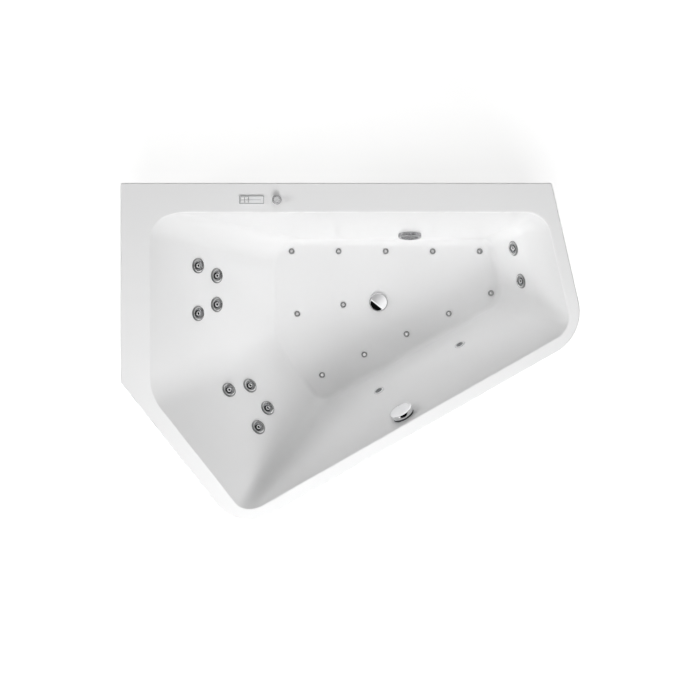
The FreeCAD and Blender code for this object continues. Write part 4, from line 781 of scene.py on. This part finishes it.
def meshArrays(item):
    mesh = item.data
    points = np.zeros(len(mesh.vertices) * 3, np.float32)
    mesh.vertices.foreach_get("co", points)
    edges = np.zeros(len(mesh.edges) * 2, np.int32)
    mesh.edges.foreach_get("vertices", edges)
    place = np.array(item.matrix_world)
    return points.reshape(-1, 3) @ place[:3, :3].T + place[:3, 3], edges.reshape(-1, 2)


def discSeat(item):
    # a disc's corners spread least along its axis, which here points at the room's front
    points = meshArrays(item)[0]
    normal = np.linalg.eigh(np.cov(points.T))[1][:, 0]
    normal = normal * -np.sign(normal[1])
    along, across = seatAt((0, 0, 0), (1, 0, 0), normal)[1][:2]
    middle = [along * ((points @ along).min() + (points @ along).max()) / 2,
              across * ((points @ across).min() + (points @ across).max()) / 2]
    return seatAt(sum(middle) + normal * (points @ normal).min(), along, normal)


strainerLook = {"radius": 0.047, "height": 0.014, "edge": 0.0035, "inner": 0.0345, "innerEdge": 0.001,
                "sunk": 0.0085, "columns": 96, "bars": 7, "pitch": 0.009, "bar": 0.0048, "barTop": 0.0132,
                "barCorner": 0.0008, "barEdge": 0.0007, "lap": 0.001}


def strainer():
    # a bar's length is the chord of the ring's inside at the bar's outer side: 2 sqrt(inner^2 - offset^2)
    look = strainerLook
    inner, radius, height, sunk = look["inner"], look["radius"], look["height"], look["sunk"]
    profile = roundedProfile([(0, sunk, 0), (inner, sunk, 0), (inner, height, look["innerEdge"]),
                              (radius, height, look["edge"]), (radius, 0, 0), (0, 0, 0)])
    seat = discSeat(nodes["suction_cover"])
    ring = gridObject("suctionRing", [put(lathe(profile, look["columns"]), seat)])
    offsets = (np.arange(look["bars"]) - (look["bars"] - 1) / 2) * look["pitch"]
    chords = 2 * np.sqrt((inner + look["lap"]) ** 2 - (np.abs(offsets) + look["bar"] / 2) ** 2)
    section = (look["bar"], look["barTop"], look["barCorner"], look["barEdge"], sunk - look["lap"])
    bars = [slab(chord, *section) + (0, offset, 0) for chord, offset in zip(chords, offsets)]
    fit(gridObject("suctionBars", [put(bar, seat) for bar in bars]), "bath", "satin_trim", "strainer")
    fit(ring, "bath", "satin_trim", "strainer", standsFor=["suction_cover"])


strainer()
print("suction cover made")


# Overflow grille: a low dark sill with posts on it, so that water still passes under the knob; the near-black sill
# and posts are painted shade, standing for the shadow in the gap between knob and wall

grilleLook = {"outer": 0.0435, "inner": 0.0360, "sill": 0.0020, "sillRound": 0.0006, "columns": 96,
              "posts": 24, "post": 0.0070, "top": 0.0072, "postCorner": 0.0010, "postEdge": 0.0005}


def overflowShadeGrille():
    look = grilleLook
    inner, outer, high, soft = look["inner"], look["outer"], look["sill"], look["sillRound"]
    sill = roundedProfile([(inner, 0, 0), (outer, 0, 0), (outer, high, soft), (inner, high, soft),
                           (inner, 0, 0)])
    post = slab(outer - inner, look["post"], look["top"], look["postCorner"], look["postEdge"])
    post = post + ((outer + inner) / 2, 0, 0)
    angle = around(look["posts"])
    # each post turned about the knob's axis: x cos a - y sin a, x sin a + y cos a
    spun = np.stack([post[..., :1] * np.cos(angle) - post[..., 1:2] * np.sin(angle),
                     post[..., :1] * np.sin(angle) + post[..., 1:2] * np.cos(angle),
                     post[..., 2:] + 0 * angle], axis=-1)
    posts = gridObject("overflowPosts", [put(grid, knobSeat) for grid in np.moveaxis(spun, 2, 0)])
    # the near-black finish on the sill and posts is painted shade under the knob
    fit(posts, "bath", "housing_dark")
    fit(gridObject("overflowSill", [put(lathe(sill, look["columns"]), knobSeat)]), "bath", "housing_dark")


overflowShadeGrille()
print("overflow grille made")


# Under the shell: threads, sockets, ribs and bolts


def patches(item, merged):
    # vertices that edges join share a label; merged first makes a patch a solid, else a face
    points, edges = meshArrays(item)
    if merged:
        points, index = np.unique(np.round(points, weldLook["digits"]), axis=0, return_inverse=True)
        edges = index.reshape(-1)[edges]
    label = np.arange(len(points))
    for turn in range(len(points)):
        low = np.minimum(label[edges[:, 0]], label[edges[:, 1]])
        spread = label.copy()
        np.minimum.at(spread, edges[:, 0], low)
        np.minimum.at(spread, edges[:, 1], low)
        spread = spread[spread]
        if np.array_equal(spread, label):
            break
        label = spread
    return [points[label == root] for root in np.unique(label)]


threadLook = {"pitch": 0.0018, "depth": 0.0007, "perTurn": 6, "columns": 18, "crease": 60}


def footThreads():
    # radius falls and rises with height less angle, so the crest climbs as a helix
    look = threadLook
    angle = around(look["columns"])
    grids = []
    for part in patches(nodes["foot_spindles"], True):
        low, high = part.min(axis=0), part.max(axis=0)
        radius, middle = (high[0] - low[0]) / 2, (low + high) / 2
        rows = int((high[2] - low[2]) / look["pitch"] * look["perTurn"])
        height = np.linspace(low[2], high[2], rows)[:, None]
        phase = (height / look["pitch"] - angle / (2 * np.pi)) % 1.0
        ends = np.clip(np.minimum(height - low[2], high[2] - height) / look["pitch"], 0, 1)
        reach = radius - look["depth"] * (np.abs(2 * phase - 1) * ends + (1 - ends))
        wall = turned(reach, angle, height) + (*middle[:2], 0)
        caps = [np.tile((*middle[:2], level), (1, look["columns"], 1)) for level in (low[2], high[2])]
        grids.append(np.concatenate([caps[0], wall, caps[1]]))
    fit(gridObject("footThreads", grids, look["crease"]), "bath", "foot_steel", standsFor=["foot_spindles"])


footThreads()

socketLook = {"length": 0.020, "swell": 1.17, "bead": 1.24, "beadLength": 0.006, "round": 0.0012,
              "arcSteps": 4, "columns": 32, "shortest": 0.055, "fewest": 12, "outOfRound": 0.03,
              "upright": 0.9}
socketSets = {"waterSockets": ("water_pipes", "pipe_white", "socket"),
              "suctionSockets": ("suction_pipe", "pipe_white", "socket"),
              "airSockets": ("air_lines", "hose_grey", "fitting_grey"),
              "airPipeSockets": ("air_pipes", "hose_grey", "fitting_grey")}  # pipes, slot, finish


def straightRuns(name):
    # a face whose points all lie at one distance from its long axis is a straight pipe
    look = socketLook
    runs = []
    for part in patches(nodes[name], False):
        if len(part) < look["fewest"]:
            continue
        heart = (part.min(axis=0) + part.max(axis=0)) / 2
        axis = np.linalg.svd(part - part.mean(axis=0), full_matrices=False)[2][0]
        along = (part - heart) @ axis
        off = np.linalg.norm(part - heart - along[:, None] * axis, axis=1)
        if np.ptp(off) < look["outOfRound"] * off.mean() and np.ptp(along) > look["shortest"]:
            runs.append((heart + axis * along.min(), heart + axis * along.max(), off.mean()))
    return runs


def pipeSockets(name, source, slot, finish):
    # a bead and a swollen sleeve at both ends of each straight pipe
    look = socketLook
    soft, length, beadLength = look["round"], look["length"], look["beadLength"]
    grids = []
    for first, last, radius in straightRuns(source):
        bead, sleeve = radius * look["bead"], radius * look["swell"]
        profile = roundedProfile([(radius, 0, 0), (bead, 0, soft), (bead, beadLength, soft),
                                  (sleeve, beadLength + soft, 0), (sleeve, length, soft), (radius, length, 0),
                                  (radius, 0, 0)], look["arcSteps"])
        ring = lathe(profile, look["columns"])
        for end, other in ((first, last), (last, first)):
            inward = (other - end) / np.linalg.norm(other - end)
            aside = np.cross(inward, (0, 0, 1) if abs(inward[2]) < look["upright"] else (1, 0, 0))
            grids.append(put(ring, seatAt(end, aside, inward)))
    if grids:
        fit(gridObject(name, grids), "bath", slot, finish)
    print(name, len(grids))


for name, (source, slot, finish) in socketSets.items():
    pipeSockets(name, source, slot, finish)

nutLook = {"wall": 0.006, "radius": 0.028, "height": 0.009, "count": 16, "share": 0.86, "breadth": 0.0032,
           "rise": 0.0009, "corner": 0.0008, "edge": 0.0006, "low": -0.0012}


def nutRibs():
    # grip ribs round each ring nut behind the wall
    look = nutLook
    section = (look["breadth"], look["rise"], look["corner"], look["edge"], look["low"])
    rib = slab(look["height"] * look["share"], *section)
    grids = []
    for origin, axes in jetSeats.values():
        heart = origin - axes[2] * (look["wall"] + look["height"] / 2)
        for turn in around(look["count"]):
            out = axes[0] * math.cos(turn) + axes[1] * math.sin(turn)
            grids.append(put(rib, seatAt(heart + out * look["radius"], axes[2], out)))
    fit(gridObject("nutRibs", grids), "bath", "fitting_grey")


nutRibs()

boltLook = {"across": 0.010, "height": 0.0042, "washer": 0.0075, "washerHeight": 0.0012, "chamfer": 0.0008,
            "chamferShare": 0.6, "columns": 48}


def boltHead(scale):
    # a six-sided radius: half the width across flats over the cosine of the angle from the nearest flat
    look = boltLook
    half, high, low, chamfer = look["across"] / 2, look["height"], look["washerHeight"], look["chamfer"]
    angle = around(look["columns"])
    centre, washer = 0 * angle, np.full_like(angle, look["washer"])
    flat = half / np.cos((angle % (np.pi / 3)) - np.pi / 6)
    top = np.minimum(flat, half) - chamfer * look["chamferShare"]
    rows = [(centre, 0.0), (washer, 0.0), (washer, low), (flat, low), (flat, high - chamfer), (top, high),
            (centre, high)]
    return scale * np.stack([turned(radius, angle, height) for radius, height in rows])


pumpLook = {"face": 0.020, "circle": 0.054, "bolts": 8, "scale": 0.9}
screwLook = {"inset": 0.010, "scale": 0.55}


def bolts():
    # a ring of bolts on the pump's face, and a screw at each corner of the terminal box
    spin = joints["pump_spin"]
    axis = np.array(spin["axis"], float)
    heart = np.array(spin["pos_m"]) + axis * pumpLook["face"]
    bolt, screw = boltHead(pumpLook["scale"]), boltHead(screwLook["scale"])
    grids = []
    for turn in around(pumpLook["bolts"]):
        out = np.array([math.cos(turn), 0, math.sin(turn)])
        grids.append(put(bolt, seatAt(heart + out * pumpLook["circle"], out, -axis)))
    low, high = map(np.array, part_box("terminal_box"))
    inset = screwLook["inset"]
    for x in (low[0] + inset, high[0] - inset):
        for y in (low[1] + inset, high[1] - inset):
            grids.append(put(screw, flatSeat((x, y, high[2]))))
    fit(gridObject("boltHeads", grids), "bath", "foot_steel")


bolts()
print("underside made")


# Stage: camera, floor, lamps, what the chrome mirrors, and world

shot = {"place": (-0.0008, 0.0058, 8.6), "lens": 106.8, "sensor": 36.0, "clip": 60.0}
camera = addObject("shotCamera", bpy.data.cameras.new("shotCamera"))
camera.location = shot["place"]
camera.data.lens = shot["lens"]
camera.data.sensor_width = shot["sensor"]
camera.data.clip_end = shot["clip"]
bpy.context.scene.camera = camera
bpy.context.scene.view_settings.view_transform = "Standard"


def stageSheet(name, grid, material):
    rows, columns = grid.shape[:2]
    quads = quadsOf(np.arange(rows * columns).reshape(rows, columns))
    mesh = bpy.data.meshes.new(name)
    mesh.from_pydata(grid.reshape(-1, 3).tolist(), [], quads.tolist())
    mesh.materials.append(material)
    item = addObject(name, mesh)
    return item


def flatSheet(name, middle, half, height, material):
    span = np.array([-half, half])
    x, y = np.meshgrid(middle[0] + span, middle[1] + span)
    return stageSheet(name, np.stack([x, y, height + 0 * x], axis=-1), material)


floorLook = {"half": 14.0, "height": -0.0004, "colour": even(0.82), "lift": 0.66, "clears": (1.3, 4.0)}


def paleFloor():
    look = floorLook
    paint = Paint("paleFloor")
    away = paint.node("VectorMath", {"operation": "LENGTH"}, [paint.place], "Value")
    lift = away.ramp(*look["clears"], look["lift"], 1.0)  # plain white far from the bath
    plain = paint.node("BsdfDiffuse", None, {"Color": look["colour"]})
    both = paint.node("AddShader", None, [plain, paint.glow(paint.directRays() * lift)])
    flatSheet("paleFloor", (0, 0), look["half"], look["height"], paint.output(both))


paleFloor()

lamps = {  # bearing from the front, height angle, distance, width and height, watts
    "frontFar": (0, 45, 4.6, (2.2, 1.5), 80.0),
    "frontNear": (14, 40, 3.1, (1.8, 1.2), 31.0),
    "frontRight": (35, 44, 4.8, (1.6, 1.2), 24.0),
    "leftSide": (-90, 23, 4.6, (1.6, 1.0), 59.0),
    "rightSide": (90, 25, 4.6, (1.6, 1.0), 12.0),
    "backSide": (180, 35, 4.6, (1.6, 1.0), 22.0),
    "backRight": (140, 50, 4.8, (1.6, 1.0), 22.0),
    "overhead": (0, 75, 6.0, (3.0, 2.4), 52.0),
}
lampAim = np.array([0.0, 0.0, 0.4])


def addLamp(name, bearing, height, far, size, power):
    data = bpy.data.lights.new(name, "AREA")
    data.shape = "RECTANGLE"
    data.size, data.size_y = size
    data.energy = power
    turn, lift = math.radians(bearing), math.radians(height)
    back = np.array([math.cos(lift) * math.sin(turn), -math.cos(lift) * math.cos(turn), math.sin(lift)])
    side = np.cross((0, 0, 1), back)
    side = side / np.linalg.norm(side)
    axes = Matrix(np.stack([side, np.cross(back, side), back], axis=1).tolist())
    item = addObject(name, data)
    item.location = lampAim + back * far
    item.rotation_mode = "QUATERNION"  # the lamp's own Z lies along back, away from the bath
    item.rotation_quaternion = axes.to_quaternion()
    item.visible_glossy = False  # the chrome sees the dome and the card instead


for name, look in lamps.items():
    addLamp(name, *look)

# what the chrome sees: a dark dome with brighter and darker patches, and a card above the camera

domeLook = {"radius": 7.0, "low": 1, "high": 78, "shade": 0.035, "columns": 181, "rows": 38}
domePatches = {  # bearing and height angle that each patch spans, and its brightness
    "window": ((-52, -6), (1, 34), 1.3),
    "flag": ((-6, 62), (1, 60), 0.003),
    "halfLight": ((62, 90), (1, 30), 0.5),
    "behindLeft": ((-180, -112), (10, 64), 0.18),
    "behindRight": ((112, 180), (10, 64), 0.18),
}
cardLook = {"height": 9.6, "middle": (0.246, 0.417), "half": 0.78, "edge": (0.086, 0.220),
            "out": (-0.63, -0.777), "black": 0.75, "blackFade": 0.05, "least": 0.004, "soft": 0.012,
            "line": 0.065, "lineFade": 1.6, "lineShade": 1.12, "greySpan": (-0.55, 0.45),
            "grey": (0.50, 1.05)}


def reflectedOnly(item):
    item.visible_camera = item.visible_diffuse = item.visible_shadow = False
    item.visible_transmission = item.visible_volume_scatter = False


def darkDome():
    # a sphere in bearing and height angle, with one brightness to each face
    look = domeLook
    bearing = np.linspace(-180, 180, look["columns"])
    height = np.linspace(look["low"], look["high"], look["rows"])[:, None]
    flat = np.cos(np.radians(height)) * look["radius"]
    grid = np.stack([flat * np.sin(np.radians(bearing)), -flat * np.cos(np.radians(bearing)),
                     np.sin(np.radians(height)) * look["radius"] + 0 * bearing], axis=-1)
    side, lift = np.meshgrid((bearing[1:] + bearing[:-1]) / 2, (height[1:, 0] + height[:-1, 0]) / 2)
    shade = np.full(side.shape, look["shade"], np.float32)
    for (left, right), (low, high), bright in domePatches.values():
        shade[(side > left) & (side < right) & (lift > low) & (lift < high)] = bright
    paint = Paint("darkDome")
    item = stageSheet("darkDome", grid, paint.output(paint.glow(paint.marked("tone"))))
    markFaces(item.data, "tone", shade.ravel())
    reflectedOnly(item)


def overheadCard():
    # a black half beside a bright line, then grey that clears along the line
    look = cardLook
    (outX, outY), (edgeX, edgeY) = look["out"], look["edge"]
    paint = Paint("overheadCard")
    parts = paint.tree.nodes.new("ShaderNodeSeparateXYZ")
    paint.feed(parts.inputs[0], paint.place)
    x, y = Wire(paint, parts.outputs[0]) - edgeX, Wire(paint, parts.outputs[1]) - edgeY
    outward = x * outX + y * outY
    grey = (y * outX - x * outY).ramp(*look["greySpan"], *look["grey"])
    lined = outward.ramp(-look["line"] * look["lineFade"], -look["line"])
    clear = lined * look["lineShade"] + (1 - lined) * grey
    faded = outward.ramp(look["black"], look["black"] + look["blackFade"], 1.0, 0.0)
    black = outward.ramp(-look["soft"], look["soft"]) * faded
    material = paint.output(paint.glow(clear * (1 - black) + look["least"]))
    reflectedOnly(flatSheet("overheadCard", look["middle"], look["half"], look["height"], material))


darkDome()
overheadCard()

world = bpy.data.worlds.new("paleRoom")
bpy.context.scene.world = world
world.use_nodes = True
board = Board(world.node_tree)
sky = board.node("Background", None, {"Color": (1, 1, 1), "Strength": board.directRays()})
board.node("OutputWorld", None, {"Surface": sky})
print("stage made")
